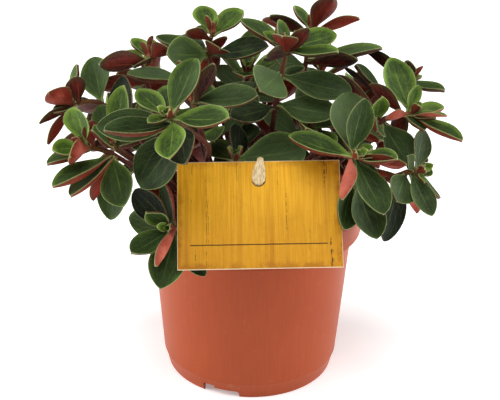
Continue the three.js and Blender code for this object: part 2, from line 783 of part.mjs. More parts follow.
const CARD_PLACES = CARD_FRAME.clone().invert();

// A point from its distances across, up and in front of the card's middle
function cardPoint(across, up, front) {
  return new THREE.Vector3(across, up, front).applyMatrix4(CARD_FRAME);
}

function card() {
  const shape = new THREE.Shape();
  shape.moveTo(-CARD.width / 2, -CARD.height / 2);
  shape.lineTo(CARD.width / 2, -CARD.height / 2);
  shape.lineTo(CARD.width / 2, CARD.height / 2);
  shape.lineTo(-CARD.width / 2, CARD.height / 2);
  const hole = new THREE.Path();
  hole.absarc(0, CARD.height / 2 - HOLE.fromTop, HOLE.radius, 0, Math.PI, true);
  shape.holes.push(hole);
  const depth = CARD.thickness;
  const settings = { depth, bevelEnabled: false, curveSegments: HOLE.sides };
  const geometry = new THREE.ExtrudeGeometry(shape, settings);
  return solidFrom(geometry.translate(0, 0, -depth / 2).applyMatrix4(CARD_FRAME));
}

// A flat ribbon through points, with its width at each of them
function ribbon(stops) {
  const sideways = cardPoint(1, 0, 0).sub(cardPoint(0, 0, 0));
  const corners = [];
  const faces = [[0, 1, 2], [0, 2, 3]];
  stops.forEach(({ point, width }, place) => {
    const before = stops[Math.max(place - 1, 0)].point;
    const after = stops[Math.min(place + 1, stops.length - 1)].point;
    const outward = sideways.clone().cross(after.clone().sub(before)).normalize();
    for (const [side, face] of [[-1, -1], [1, -1], [1, 1], [-1, 1]]) {
      const corner = point.clone().addScaledVector(sideways, side * width / 2);
      corners.push(corner.addScaledVector(outward, face * TIE.thickness / 2));
    }
  });
  for (let ring = 0; ring + 4 < corners.length; ring += 4) {
    for (let side = 0; side < 4; side += 1) {
      const a = ring + side;
      const b = ring + ((side + 1) % 4);
      faces.push([a, b + 4, b], [a, a + 4, b + 4]);
    }
  }
  const last = corners.length - 4;
  faces.push([last, last + 2, last + 1], [last, last + 3, last + 2]);
  return solidOf(corners.flatMap((corner) => corner.toArray()), faces.flat());
}

// The stops of the tie's two straps, in front of the card and behind it, both held by the ring
function straps(ring) {
  const holeTop = CARD.height / 2 - HOLE.fromTop;
  const top = CARD.height / 2;
  const lie = CARD.thickness / 2 + GAP + TIE.thickness / 2;
  const towards = cardPoint(0, 0, 0).sub(ring).setZ(0).normalize();
  const hold = ring.clone().addScaledVector(towards, TIE.ringRadius - TIE.ringWall / 2);
  const inHole = { point: cardPoint(0, holeTop - 1.7, -1.1), width: TIE.endWidth };
  const front = [
    inHole,
    { point: cardPoint(0, holeTop - 1.4, 0), width: TIE.endWidth },
    { point: cardPoint(0, holeTop - 0.4, lie), width: TIE.width * 0.9 },
    { point: cardPoint(0.1, holeTop + 1.6, lie), width: TIE.width },
    { point: cardPoint(0.5, holeTop + 6, lie), width: TIE.width * 0.85 },
    { point: cardPoint(0.9, top - 0.4, lie), width: TIE.topWidth * 1.3 },
    { point: cardPoint(1.1, top + TIE.overTop, 0.5), width: TIE.topWidth },
    { point: cardPoint(1.1, top + TIE.overTop - 0.2, -1.2), width: TIE.topWidth },
    { point: hold.clone().setZ(hold.z + 1), width: TIE.topWidth },
  ];
  const rear = [inHole, { point: hold.clone().setZ(hold.z - 1), width: TIE.topWidth }];
  return [front, rear];
}

function tieRing(centre, along) {
  const { ringRadius, ringWall, ringHeight } = TIE;
  const inner = ringRadius - ringWall;
  const half = ringHeight / 2;
  const profile = [[inner, -half], [ringRadius, -half], [ringRadius, half], [inner, half], [inner, -half]];
  const upright = new THREE.Quaternion().setFromUnitVectors(new THREE.Vector3(0, 0, 1), along);
  const geometry = turned(profile, TIE.ringSides).applyQuaternion(upright);
  return solidFrom(geometry.translate(centre.x, centre.y, centre.z));
}

// Shoots

class Whorl {
  constructor(centre, faceTo, faceUp) {
    this.centre = centre;
    this.axis = direction(faceTo, faceUp);
    this.aside = this.axis.clone().cross(new THREE.Vector3(0, 0, 1)).normalize();
    this.beyond = this.axis.clone().cross(this.aside);
  }

  growOn(stem, along) {
    this.stem = stem;
    this.along = along;
  }

  // Where a leaf towards a tip leaves the stem, in one of three tiers
  foot(tip, tier) {
    const away = tip.clone().sub(this.centre);
    away.addScaledVector(this.axis, -away.dot(this.axis));
    if (away.length() > 0.01) {
      away.normalize();
    }
    const below = BLADE.tier * (tier % 3) + 0.6;
    const reach = this.stem.getPoint(this.along - BLADE.pace).distanceTo(this.centre);
    const place = this.along - (BLADE.pace * below) / reach;
    return this.stem.getPoint(place).addScaledVector(away, BLADE.sink);
  }

  // A unit vector leant away from the whorl's axis, at a turn about it
  outward(turn, lean) {
    return this.axis.clone().multiplyScalar(Math.cos(radians(lean)))
      .addScaledVector(this.aside, Math.sin(radians(lean)) * Math.cos(radians(turn)))
      .addScaledVector(this.beyond, Math.sin(radians(lean)) * Math.sin(radians(turn)));
  }
}

class Shoot {
  constructor(spec, seed) {
    this.name = spec.name;
    this.spec = spec;
    this.dice = new Dice(seed);
    this.blades = [];
    this.whorls = spec.whorls.map
      ? spec.whorls.map((whorl) => new Whorl(seen(whorl.x, whorl.y, whorl.depth), whorl.faceTo, whorl.faceUp))
      : RULE_WHORLS.slice(0, spec.whorls).map((whorl) => {
        const crown = new THREE.Vector3(spec.x, spec.y, spec.z);
        const centre = crown.addScaledVector(direction(spec.faceTo, spec.faceUp), -whorl.below);
        return new Whorl(centre, spec.faceTo, spec.faceUp);
      });
    const heights = [STEM.rootHeight, STEM.collarHeight, STEM.riseHeight];
    this.path = new THREE.CatmullRomCurve3([
      ...heights.map((z) => new THREE.Vector3(spec.soilX, spec.soilY, z)),
      ...(spec.bends ?? []).map(({ x, y, depth }) => seen(x, y, depth)),
      ...this.whorls.map((whorl) => whorl.centre).reverse(),
    ]);
    const last = this.path.points.length - 1;
    this.whorls.forEach((whorl, place) => whorl.growOn(this.path, (last - place) / last));
    this.steps = Math.round(this.path.getLength() / STEM.step);
    this.stemPoints = this.path.getSpacedPoints(this.steps * 4);
  }

  stem() {
    const shape = new THREE.Shape();
    for (let corner = 0; corner < STEM.sides; corner += 1) {
      const turn = (2 * Math.PI * corner) / STEM.sides;
      shape[corner ? 'lineTo' : 'moveTo'](STEM.radius * Math.cos(turn), STEM.radius * Math.sin(turn));
    }
    return solidFrom(new THREE.ExtrudeGeometry(shape, { steps: this.steps, extrudePath: this.path }));
  }

  solid() {
    return filled(this.blades.reduce((whole, blade) => whole.add(blade.solid()), this.stem()));
  }
}

// The leaves are placed one by one, each clear of the stems and leaves of the other shoots,
// the pot, the soil, the card and the tie

class Plant {
  constructor() {
    this.shoots = [...SEEN_SHOOTS, ...RULE_SHOOTS].map((spec, place) => new Shoot(spec, 100 + 17 * place));
    const tied = this.shoots.find((shoot) => shoot.name === TIE.shoot);
    this.ring = tied.path.getPointAt(TIE.ringShare);
    this.ringAlong = tied.path.getTangentAt(TIE.ringShare);
    this.tieStops = straps(this.ring);
    this.placeSeenBlades();
    this.placeYoungBlades();
    this.placeRuleBlades();
  }

  nearThings(point) {
    const away = Math.hypot(point.x, point.y);
    const inPot = point.z < POT.height + 1.5 && away < POT.rimRadius + 1.5 && away > POT.rimRadius - 5;
    const inSoil = point.z < SOIL.topHeight + SOIL.lump + 1.5 && away <= POT.rimRadius - 5;
    const place = point.clone().applyMatrix4(CARD_PLACES);
    const inCard = Math.abs(place.x) < CARD.width / 2 + 1
      && Math.abs(place.y) < CARD.height / 2 + 1 && Math.abs(place.z) < CARD.thickness / 2 + 1.5;
    const inTie = this.tieStops.some((stops) => stops.slice(1).some((stop, before) => {
      const line = new THREE.Line3(stops[before].point, stop.point);
      return line.closestPointToPoint(point, true, new THREE.Vector3()).distanceTo(point) < TIE.width / 2 + 1;
    }));
    return inPot || inSoil || inCard || inTie || this.ring.distanceTo(point) < TIE.ringRadius + 1.5;
  }

  blocked(blade, shoot) {
    return blade.samples(2).some((point) => this.nearThings(point))
      || this.shoots.some((other) => other !== shoot && (
        other.stemPoints.some((point) => blade.holds(point, STEM.radius + 0.4))
        || other.blades.some((placed) => blade.crosses(placed, 2))));
  }

  // The first way to place a blade that is clear of other shoots, and where one is, of its own shoot's leaves
  firstClear(ways, shoot) {
    let next = null;
    for (const blade of ways) {
      if (!this.blocked(blade, shoot)) {
        if (!shoot.blades.some((placed) => blade.crosses(placed, 6))) {
          return blade;
        }
        next ??= blade;
      }
    }
    return next;
  }

  placeSeenBlades() {
    for (const shoot of this.shoots.filter(({ spec }) => spec.whorls.map)) {
      shoot.spec.whorls.forEach(({ leaves }, place) => {
        const whorl = shoot.whorls[place];
        leaves.forEach((leaf, tier) => {
          const ways = SEEN_WAYS.map(({ reach, turn }) => {
            const tip = reached(whorl.centre, leaf.x, leaf.y, leaf.long * reach, leaf.side);
            const foot = whorl.foot(tip, tier);
            return new Blade(foot, tip, leaf.wide, facing(foot, tip, leaf.show, whorl.axis), turn);
          });
          shoot.blades.push(this.firstClear(ways, shoot) ?? ways[0]);
        });
      });
    }
  }

  placeYoungBlades() {
    for (const shoot of this.shoots) {
      const whorl = shoot.whorls[0];
      const start = shoot.dice.around(180, 180);
      for (let place = 0; place < YOUNG.count; place += 1) {
        const turn = start + (360 / YOUNG.count) * place;
        const long = YOUNG.long * shoot.dice.around(1, 0.2);
        const tip = whorl.centre.clone().addScaledVector(whorl.outward(turn, YOUNG.lean), long);
        const blade = new Blade(whorl.foot(tip, 0), tip, YOUNG.wide, whorl.axis, 0);
        if (!this.blocked(blade, shoot)) {
          shoot.blades.push(blade);
        }
      }
    }
  }

  placeRuleBlades() {
    for (const shoot of this.shoots.filter(({ spec }) => !spec.whorls.map)) {
      shoot.whorls.forEach((whorl, place) => {
        const { count, long, wide, lean } = RULE_WHORLS[place];
        const start = shoot.dice.around(180, 180);
        for (let leaf = 0; leaf < count; leaf += 1) {
          const turn = start + (360 / count) * leaf + shoot.dice.around(0, 8);
          const tilt = lean + shoot.dice.around(0, 9);
          const size = shoot.dice.around(1, 0.12);
          const ways = RULE_WAYS.map((way) => {
            const along = whorl.outward(turn + way.turn, tilt + way.lean);
            const tip = whorl.centre.clone().addScaledVector(along, long * size * way.size);
            return new Blade(whorl.foot(tip, leaf), tip, wide * size * way.size, whorl.axis, 0);
          });
          const clear = this.firstClear(ways, shoot);
          if (clear) {
            shoot.blades.push(clear);
          }
        }
      });
    }
  }
}

const SEEN_WAYS = [1, 1.06, 0.94, 1.12, 0.88, 1.18, 0.82, 1.25]
  .flatMap((reach) => [0, 12, -12, 24, -24].map((turn) => ({ reach, turn })));

const RULE_WAYS = [1, 0.84, 0.68]
  .flatMap((size) => [0, 14, -14, 28].map((lean) => ({ size, lean })))
  .flatMap((way) => [0, 16, -16, 32, -32].map((turn) => ({ ...way, turn })));

// Colours

function leafColour() {
  return new THREE.MeshStandardMaterial({ name: 'leaf', color: 0x3d6a2c, roughness: 0.6 });
}

function potColour() {
  return new THREE.MeshStandardMaterial({ name: 'terracotta_plastic', color: 0xb8593a, roughness: 0.5 });
}

function soilColour() {
  return new THREE.MeshStandardMaterial({ name: 'soil', color: 0x3a2b20, roughness: 0.95 });
}

function cardColour() {
  return new THREE.MeshStandardMaterial({ name: 'printed_card', color: 0xd9992b, roughness: 0.6 });
}

function tieColour() {
  return new THREE.MeshStandardMaterial({ name: 'cream_ribbon', color: 0xecd9a2, roughness: 0.45 });
}

function piece(name, solid, material) {
  const mesh = new THREE.Mesh(geometryOf(solid), material);
  mesh.name = name;
  return mesh;
}

const plant = new Plant();
const holes = plant.shoots.map(({ spec }) => soilHole(spec.soilX, spec.soilY));
const drilledSoil = holes.reduce((body, hole) => body.subtract(hole), soil());
const ring = tieRing(plant.ring, plant.ringAlong);
const tie = plant.tieStops.reduce((whole, stops) => whole.add(ribbon(stops)), ring);

const group = new THREE.Group();
group.name = 'potted_plant';
group.add(piece('pot', pot(), potColour()));
group.add(piece('soil', drilledSoil, soilColour()));
group.add(piece('card', card(), cardColour()));
group.add(piece('card_tie', tie, tieColour()));
for (const shoot of plant.shoots) {
  group.add(piece(`shoot_${shoot.name}`, shoot.solid(), leafColour()));
}

export default group;
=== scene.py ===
"""Looks of a potted peperomia: velvety leaves on red stems, a nursery pot, and a card on a ribbon."""

import logging
import math
from dataclasses import dataclass, field
from enum import Enum
from typing import Any, Iterable, Optional, Sequence

import bmesh
import bpy
import numpy as np
from bmesh.types import BMesh, BMVert
from bpy.types import Material, Mesh, Object
from mathutils import Matrix, Vector


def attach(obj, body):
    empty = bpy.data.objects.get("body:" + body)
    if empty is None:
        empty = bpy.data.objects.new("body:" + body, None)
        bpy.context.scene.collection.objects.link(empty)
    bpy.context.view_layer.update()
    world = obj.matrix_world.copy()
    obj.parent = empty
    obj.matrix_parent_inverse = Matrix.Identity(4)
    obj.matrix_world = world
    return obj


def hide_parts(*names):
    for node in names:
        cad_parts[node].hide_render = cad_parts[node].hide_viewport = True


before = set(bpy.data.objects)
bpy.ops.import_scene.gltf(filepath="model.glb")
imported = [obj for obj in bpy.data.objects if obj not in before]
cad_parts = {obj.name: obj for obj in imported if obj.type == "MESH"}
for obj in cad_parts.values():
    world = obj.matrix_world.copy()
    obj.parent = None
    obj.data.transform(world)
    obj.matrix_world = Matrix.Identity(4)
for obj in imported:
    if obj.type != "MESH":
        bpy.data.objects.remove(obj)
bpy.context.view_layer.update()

log = logging.getLogger("potted_plant")

MM = 0.001
Colour = tuple[float, float, float, float]


def colour(code: str) -> Colour:
    """A linear colour from a screen colour.

    Args:
        code: Six hexadecimal digits, as in "b8593a".

    Returns:
        Its linear red, green and blue, and an alpha of 1.
    """
    channels = [int(code[place : place + 2], 16) / 255 for place in (0, 2, 4)]
    linear = [c / 12.92 if c <= 0.04045 else ((c + 0.055) / 1.055) ** 2.4 for c in channels]
    return (linear[0], linear[1], linear[2], 1.0)


def unit(vector: np.ndarray) -> np.ndarray:
    """A vector of length 1 along another."""
    return vector / np.linalg.norm(vector)


def direction(bearing: float, rise: float) -> np.ndarray:
    """A unit vector from its bearing, anticlockwise from +X, and its rise, both in degrees."""
    level = math.cos(math.radians(rise))
    return np.array(
        [
            level * math.cos(math.radians(bearing)),
            level * math.sin(math.radians(bearing)),
            math.sin(math.radians(rise)),
        ]
    )


def turned_about(vector: np.ndarray, axis: np.ndarray, degrees: float) -> np.ndarray:
    """A vector turned about a unit axis.

    Args:
        vector: What is turned.
        axis: The unit axis.
        degrees: The turn, anticlockwise seen against the axis.

    Returns:
        The turned vector.
    """
    turn = math.radians(degrees)
    return (
        vector * math.cos(turn)
        + np.cross(axis, vector) * math.sin(turn)
        + axis * axis.dot(vector) * (1 - math.cos(turn))
    )


def linked(name: str, data: Any) -> Object:
    """Makes a mesh, a camera or a light an object of the scene."""
    made = bpy.data.objects.new(name, data)
    bpy.context.scene.collection.objects.link(made)
    return made


# Shader graphs


class Wire:
    """An output socket, with the arithmetic that the finishes use."""

    def __init__(self, graph: "Graph", socket: bpy.types.NodeSocket) -> None:
        """Holds a socket of a graph."""
        self.graph = graph
        self.socket = socket

    def _math(self, operation: str, first: Any, second: Any = 0.0) -> "Wire":
        """Adds a Math node of an operation on one value or two."""
        return self.graph.add("ShaderNodeMath", {"operation": operation}, {0: first, 1: second})

    def __add__(self, other: Any) -> "Wire":
        """Sum."""
        return self._math("ADD", self, other)

    __radd__ = __add__

    def __sub__(self, other: Any) -> "Wire":
        """Difference."""
        return self._math("SUBTRACT", self, other)

    def __rsub__(self, other: Any) -> "Wire":
        """Difference from a number."""
        return self._math("SUBTRACT", other, self)

    def __mul__(self, other: Any) -> "Wire":
        """Product."""
        return self._math("MULTIPLY", self, other)

    def __abs__(self) -> "Wire":
        """Size without its sign."""
        return self._math("ABSOLUTE", self)

    def at_most(self, other: Any) -> "Wire":
        """The lesser of two values."""
        return self._math("MINIMUM", self, other)

    def at_least(self, other: Any) -> "Wire":
        """The greater of two values."""
        return self._math("MAXIMUM", self, other)

    def turns(self, length: float) -> "Wire":
        """What is left of a value after whole turns of a length."""
        return self._math("FLOORED_MODULO", self, length)

    def rises(self, low: float, high: float) -> "Wire":
        """A smooth step from 0 at one value to 1 at another.

        Args:
            low: The value with a step of 0.
            high: The value with a step of 1, which may be the smaller one.

        Returns:
            The step.
        """
        return self.graph.add(
            "ShaderNodeMapRange",
            {"interpolation_type": "SMOOTHSTEP"},
            {"Value": self, "From Min": low, "From Max": high},
        )


class Graph:
    """The node tree of one finish."""

    def __init__(self, name: str) -> None:
        """Starts an empty material of a name."""
        self.material = bpy.data.materials.new(name)
        self.material.use_nodes = True
        self.tree = self.material.node_tree
        self.tree.nodes.clear()

    def add(
        self, kind: str, settings: dict[str, Any], sockets: dict[Any, Any], output: Any = 0
    ) -> Wire:
        """Adds a node.

        Args:
            kind: The node's type.
            settings: Its own settings, set first; "stops" holds a ramp's places and colours.
            sockets: Its inputs by name or number, each a value, a screen colour or a wire.
            output: The output that is used, by name or number.

        Returns:
            The output's wire.
        """
        node = self.tree.nodes.new(kind)
        for name, value in settings.items():
            if name == "stops":
                stops = node.color_ramp.elements
                while len(stops) < len(value):
                    stops.new(0.5)
                for stop, (place, shade) in zip(stops, value):
                    stop.position = place
                    stop.color = colour(shade)
            else:
                setattr(node, name, value)
        for name, value in sockets.items():
            if isinstance(value, Wire):
                self.tree.links.new(value.socket, node.inputs[name])
            else:
                node.inputs[name].default_value = colour(value) if isinstance(value, str) else value
        return Wire(self, node.outputs[output])

    def places(self) -> Wire:
        """Object coordinates, in metres."""
        return self.add("ShaderNodeTexCoord", {}, {}, "Object")

    def coordinate(self, places: Wire, axis: str) -> Wire:
        """One coordinate of places."""
        return self.add("ShaderNodeSeparateXYZ", {}, {0: places}, axis)

    def attribute(self, name: str) -> Wire:
        """A number that the mesh holds at each of its corners."""
        return self.add("ShaderNodeAttribute", {"attribute_name": name}, {}, "Fac")

    def stretched(self, places: Wire, scale: Sequence[float]) -> Wire:
        """Places multiplied by a number along each axis."""
        return self.add(
            "ShaderNodeVectorMath", {"operation": "MULTIPLY"}, {0: places, 1: tuple(scale)}
        )

    def noise(self, places: Wire, scale: float, detail: float = 3.0, rough: float = 0.5) -> Wire:
        """Smooth noise from 0 to 1.

        Args:
            places: Where it is read.
            scale: How many lumps there are to a metre of those places.
            detail: How many finer layers it has.
            rough: How strong those are.

        Returns:
            The noise.
        """
        sockets = {"Vector": places, "Scale": scale, "Detail": detail, "Roughness": rough}
        return self.add("ShaderNodeTexNoise", {}, sockets, "Fac")

    def mixed(self, share: Any, first: Any, second: Any) -> Wire:
        """A colour between two.

        Args:
            share: How much of the second colour there is.
            first: The colour at a share of 0.
            second: The colour at a share of 1.

        Returns:
            The mixed colour.
        """
        return self.add("ShaderNodeMix", {"data_type": "RGBA"}, {0: share, 6: first, 7: second}, 2)

    def ramp(self, value: Wire, stops: Sequence[tuple[float, str]]) -> Wire:
        """A colour read from stops along 0 to 1."""
        return self.add("ShaderNodeValToRGB", {"stops": stops}, {0: value}, "Color")

    def bumped(self, height: Wire, distance: float, strength: float = 1.0) -> Wire:
        """A normal bent by a height.

        Args:
            height: The height, from 0 to 1.
            distance: What a height of 1 stands for, in metres.
            strength: How much of it is used.

        Returns:
            The normal.
        """
        sockets = {"Height": height, "Distance": distance, "Strength": strength}
        return self.add("ShaderNodeBump", {}, sockets, "Normal")

    def finish(self, base: Any, rough: Any, gloss: float, others: dict[str, Any]) -> Material:
        """Ends the graph in one Principled shader.

        Args:
            base: Its base colour.
            rough: Its roughness.
            gloss: How strongly it mirrors.
            others: Its other inputs by name, each a value, a screen colour or a wire.

        Returns:
            The material.
        """
        sockets = {"Base Color": base, "Roughness": rough, "Specular IOR Level": gloss}
        shader = self.add("ShaderNodeBsdfPrincipled", {}, {**sockets, **others}, "BSDF")
        end = self.tree.nodes.new("ShaderNodeOutputMaterial")
        self.tree.links.new(shader.socket, end.inputs["Surface"])
        return self.material


# Finishes


@dataclass(frozen=True)
class LeafFinish:
    """Thick velvety blades: green above with pale margins and fine veins, maroon underneath."""

    dark: str = "10180a"
    middle: str = "33481a"
    bright: str = "7a9a34"
    # Painted sheen: the grey that the velvet's sheen is painted in.
    painted_sheen_grey: str = "60754a"
    margin: str = "a6b478"
    vein: str = "71884a"
    wine: str = "230d09"
    red: str = "7e2415"
    rose: str = "c96c58"
    olive: str = "3f3517"

    def upper(self, graph: Graph, places: Wire, veins: Wire) -> Wire:
        """The upper face's colour, without its margin.

        Args:
            graph: The leaf's graph.
            places: Object coordinates.
            veins: The strength of the veins.

        Returns:
            The colour: darkest along the middle, lighter towards the margin, where it shows its own paler
            margin and a painted highlight, and on the veins.
        """
        tone = graph.attribute("tone")
        cloud = graph.noise(places, 130.0, 3.0) - 0.5
        fine = graph.noise(places, 900.0, 2.0) - 0.5
        # Lighter towards the margin: partly the leaf's own paler margin, partly a painted highlight.
        fresh = graph.attribute("edge").rises(3.4, 0.1) * (0.24 + tone * 0.2)
        # For many leaves the tone also holds painted shade and painted light for how that leaf is lit.
        depth = tone * 0.36 + 0.26 + cloud * 0.5 + fine * 0.2 + fresh + veins * 0.22
        stops = [(0.0, self.dark), (0.5, self.middle), (1.0, self.bright)]
        green = graph.ramp(depth, stops)
        # Painted sheen: the velvet's grey sheen painted over the green, per leaf and in soft clouds.
        frost = graph.attribute("frost") * 0.55 + cloud * 0.2
        return graph.mixed(frost.at_least(0.0), green, self.painted_sheen_grey)

    def veins(self, graph: Graph, places: Wire) -> Wire:
        """Where the midrib, the arched side veins and the fine net between them run, from 0 to 1.

        Args:
            graph: The leaf's graph.
            places: Object coordinates.

        Returns:
            The strength of the veins.
        """
        share = graph.attribute("share")
        wander = (graph.noise(places, 190.0, 3.0) - 0.5) * 0.3
        side = abs(graph.attribute("side"))
        midrib = side.rises(0.075, 0.0) * share.rises(1.0, 0.45)
        inner = abs(side + wander - 0.42).rises(0.05, 0.0) * 0.4
        outer = abs(side + wander * 1.4 - 0.74).rises(0.045, 0.0) * 0.25
        forks = (share * 5.5 - side * 2.4 + wander * 2.0).turns(1.0)
        branches = abs(forks - 0.5).rises(0.07, 0.0) * 0.45
        net = graph.add(
            "ShaderNodeTexVoronoi",
            {"feature": "DISTANCE_TO_EDGE"},
            {"Vector": places, "Scale": 420.0, "Randomness": 1.0},
            "Distance",
        )
        mesh = net.rises(0.07, 0.0) * 0.22
        fading = share.rises(1.02, 0.8)
        return (midrib + (inner + outer + branches + mesh).at_most(0.7) * fading).at_most(1.0)

    def lower(self, graph: Graph, places: Wire) -> Wire:
        """The underside's colour.

        Args:
            graph: The leaf's graph.
            places: Object coordinates.

        Returns:
            The colour: reddest near the stalk and browner towards the margin.
        """
        cloud = graph.noise(places, 110.0, 3.0) - 0.5
        fine = graph.noise(places, 700.0, 2.0) - 0.5
        stalk = graph.attribute("share").rises(0.55, 0.0) * 0.2
        middle = graph.attribute("edge").rises(0.5, 5.5) * 0.16
        # The blush also holds painted shade and painted light: wine on shaded leaves, rose on lit ones.
        depth = graph.attribute("blush") * 0.6 + 0.27 + cloud * 0.62 + fine * 0.2 + stalk + middle
        stops = [(0.0, self.wine), (0.55, self.red), (1.0, self.rose)]
        brown = graph.attribute("edge").rises(3.5, 0.3) * (0.45 - graph.attribute("blush") * 0.35)
        return graph.mixed(brown.at_least(0.0), graph.ramp(depth, stops), self.olive)

    def material(self) -> Material:
        """The leaf's material."""
        graph = Graph("velvet_leaf")
        places = graph.places()
        veins = self.veins(graph, places)
        under = graph.attribute("under").rises(0.6, 0.95)
        fringe = graph.noise(places, 1500.0, 2.0) * 0.25
        edge = (graph.attribute("edge") + fringe).rises(0.5, 0.1)
        top = graph.mixed(veins * 0.22, self.upper(graph, places, veins), self.vein)
        back = graph.mixed(veins * 0.22, self.lower(graph, places), self.rose)
        face = graph.mixed(under, top, back)
        bright = graph.attribute("tone") * 0.2 + 0.48 + (graph.noise(places, 350.0, 2.0) - 0.5) * 0.6
        face = graph.mixed((edge * (bright - under * 0.25)).at_least(0.0), face, self.margin)
        velvet = graph.noise(places, 2600.0, 2.0, 0.6)
        height = velvet * 0.35 - veins * (1 - under) * 0.6 + veins * under * 0.5
        others = {
            "Normal": graph.bumped(height, 0.00022, 0.8),
            "Sheen Weight": 0.05,
            "Sheen Roughness": 0.45,
            "Sheen Tint": "d8e6cf",
        }
        return graph.finish(face, 0.5 + velvet * 0.16, 0.14, others)


@dataclass(frozen=True)
class StemFinish:
    """Reddish-brown, finely haired stems, greener where they are young."""

    brown: str = "351811"
    red: str = "5c2a1d"
    young: str = "6e4f24"

    def material(self) -> Material:
        """The stem's material."""
        graph = Graph("red_stem")
        places = graph.places()
        long_lumps = graph.stretched(places, (1.0, 1.0, 0.25))
        streaks = graph.noise(long_lumps, 700.0, 3.0)
        patches = graph.noise(places, 90.0, 2.0)
        skin = graph.mixed((streaks * 0.6 + patches * 0.5 - 0.05).at_most(1.0), self.brown, self.red)
        skin = graph.mixed(graph.attribute("share").rises(0.8, 1.0) * 0.75, skin, self.young)
        hairs = graph.noise(places, 3200.0, 2.0)
        others = {
            "Normal": graph.bumped(streaks * 0.7 + hairs * 0.3, 0.0003, 0.7),
            "Sheen Weight": 0.05,
            "Sheen Tint": "e6c9b8",
        }
        return graph.finish(skin, 0.5 + streaks * 0.2, 0.15, others)


@dataclass(frozen=True)
class HairFinish:
    """Fine hairs, nearly clear, that look pale at margins and on stems."""

    pale: str = "c9cfa8"
    tan: str = "a9865e"

    def material(self) -> Material:
        """The hairs' material."""
        graph = Graph("fine_hairs")
        patches = graph.noise(graph.places(), 900.0, 2.0)
        others = {"Sheen Weight": 0.1}
        shade = graph.mixed(patches.rises(0.3, 0.7), self.tan, self.pale)
        return graph.finish(shade, 0.55 + patches * 0.2, 0.2, others)


@dataclass(frozen=True)
class PotFinish:
    """Satin terracotta-coloured plastic with faint upright draw marks from its mould."""

    clay: str = "8f3813"
    warm: str = "a3461b"
    dusty: str = "b07048"

    def material(self) -> Material:
        """The pot's material."""
        graph = Graph("terracotta_plastic")
        places = graph.places()
        bearing = graph.add(
            "ShaderNodeVectorMath",
            {"operation": "NORMALIZE"},
            {0: graph.stretched(places, (1.0, 1.0, 0.0))},
        )
        upright = graph.add(
            "ShaderNodeVectorMath",
            {"operation": "ADD"},
            {0: bearing, 1: graph.stretched(places, (0.0, 0.0, 1.2))},
        )
        streaks = graph.noise(upright, 46.0, 4.0, 0.6)
        fine = graph.noise(places, 2200.0, 2.0, 0.7)
        cloud = graph.noise(places, 28.0, 3.0)
        skin = graph.mixed((streaks * 1.1 + cloud * 0.5 - 0.3).at_most(1.0), self.clay, self.warm)
        heights = graph.coordinate(places, "Z")
        dust = graph.noise(places, 180.0, 5.0, 0.65).rises(0.56, 0.78)
        worn = dust * (0.22 + heights.rises(0.02, 0.0) * 0.3)
        others = {"Normal": graph.bumped(streaks * 0.6 + fine * 0.4, 0.0001, 0.6)}
        skin = graph.mixed(worn.at_most(1.0), skin, self.dusty)
        return graph.finish(skin, 0.38 + streaks * 0.14 + dust * 0.12, 0.22, others)


@dataclass(frozen=True)
class SoilFinish:
    """Damp dark potting mix with paler bits of bark and stone."""

    peat: str = "21160f"
    bark: str = "5a3e2a"
    grit: str = "b9aa92"

    def material(self) -> Material:
        """The soil's material."""
        graph = Graph("potting_mix")
        places = graph.places()
        crumbs = graph.noise(places, 420.0, 5.0, 0.7)
        chips = graph.add("ShaderNodeTexVoronoi", {}, {"Vector": places, "Scale": 260.0}, "Distance")
        grit = graph.noise(places, 640.0, 1.0).rises(0.74, 0.78)
        ground = graph.mixed(crumbs.rises(0.35, 0.75), self.peat, self.bark)
        others = {"Normal": graph.bumped(crumbs * 0.7 + chips * 0.4, 0.0014, 1.0)}
        return graph.finish(graph.mixed(grit, ground, self.grit), 0.95, 0.2, others)


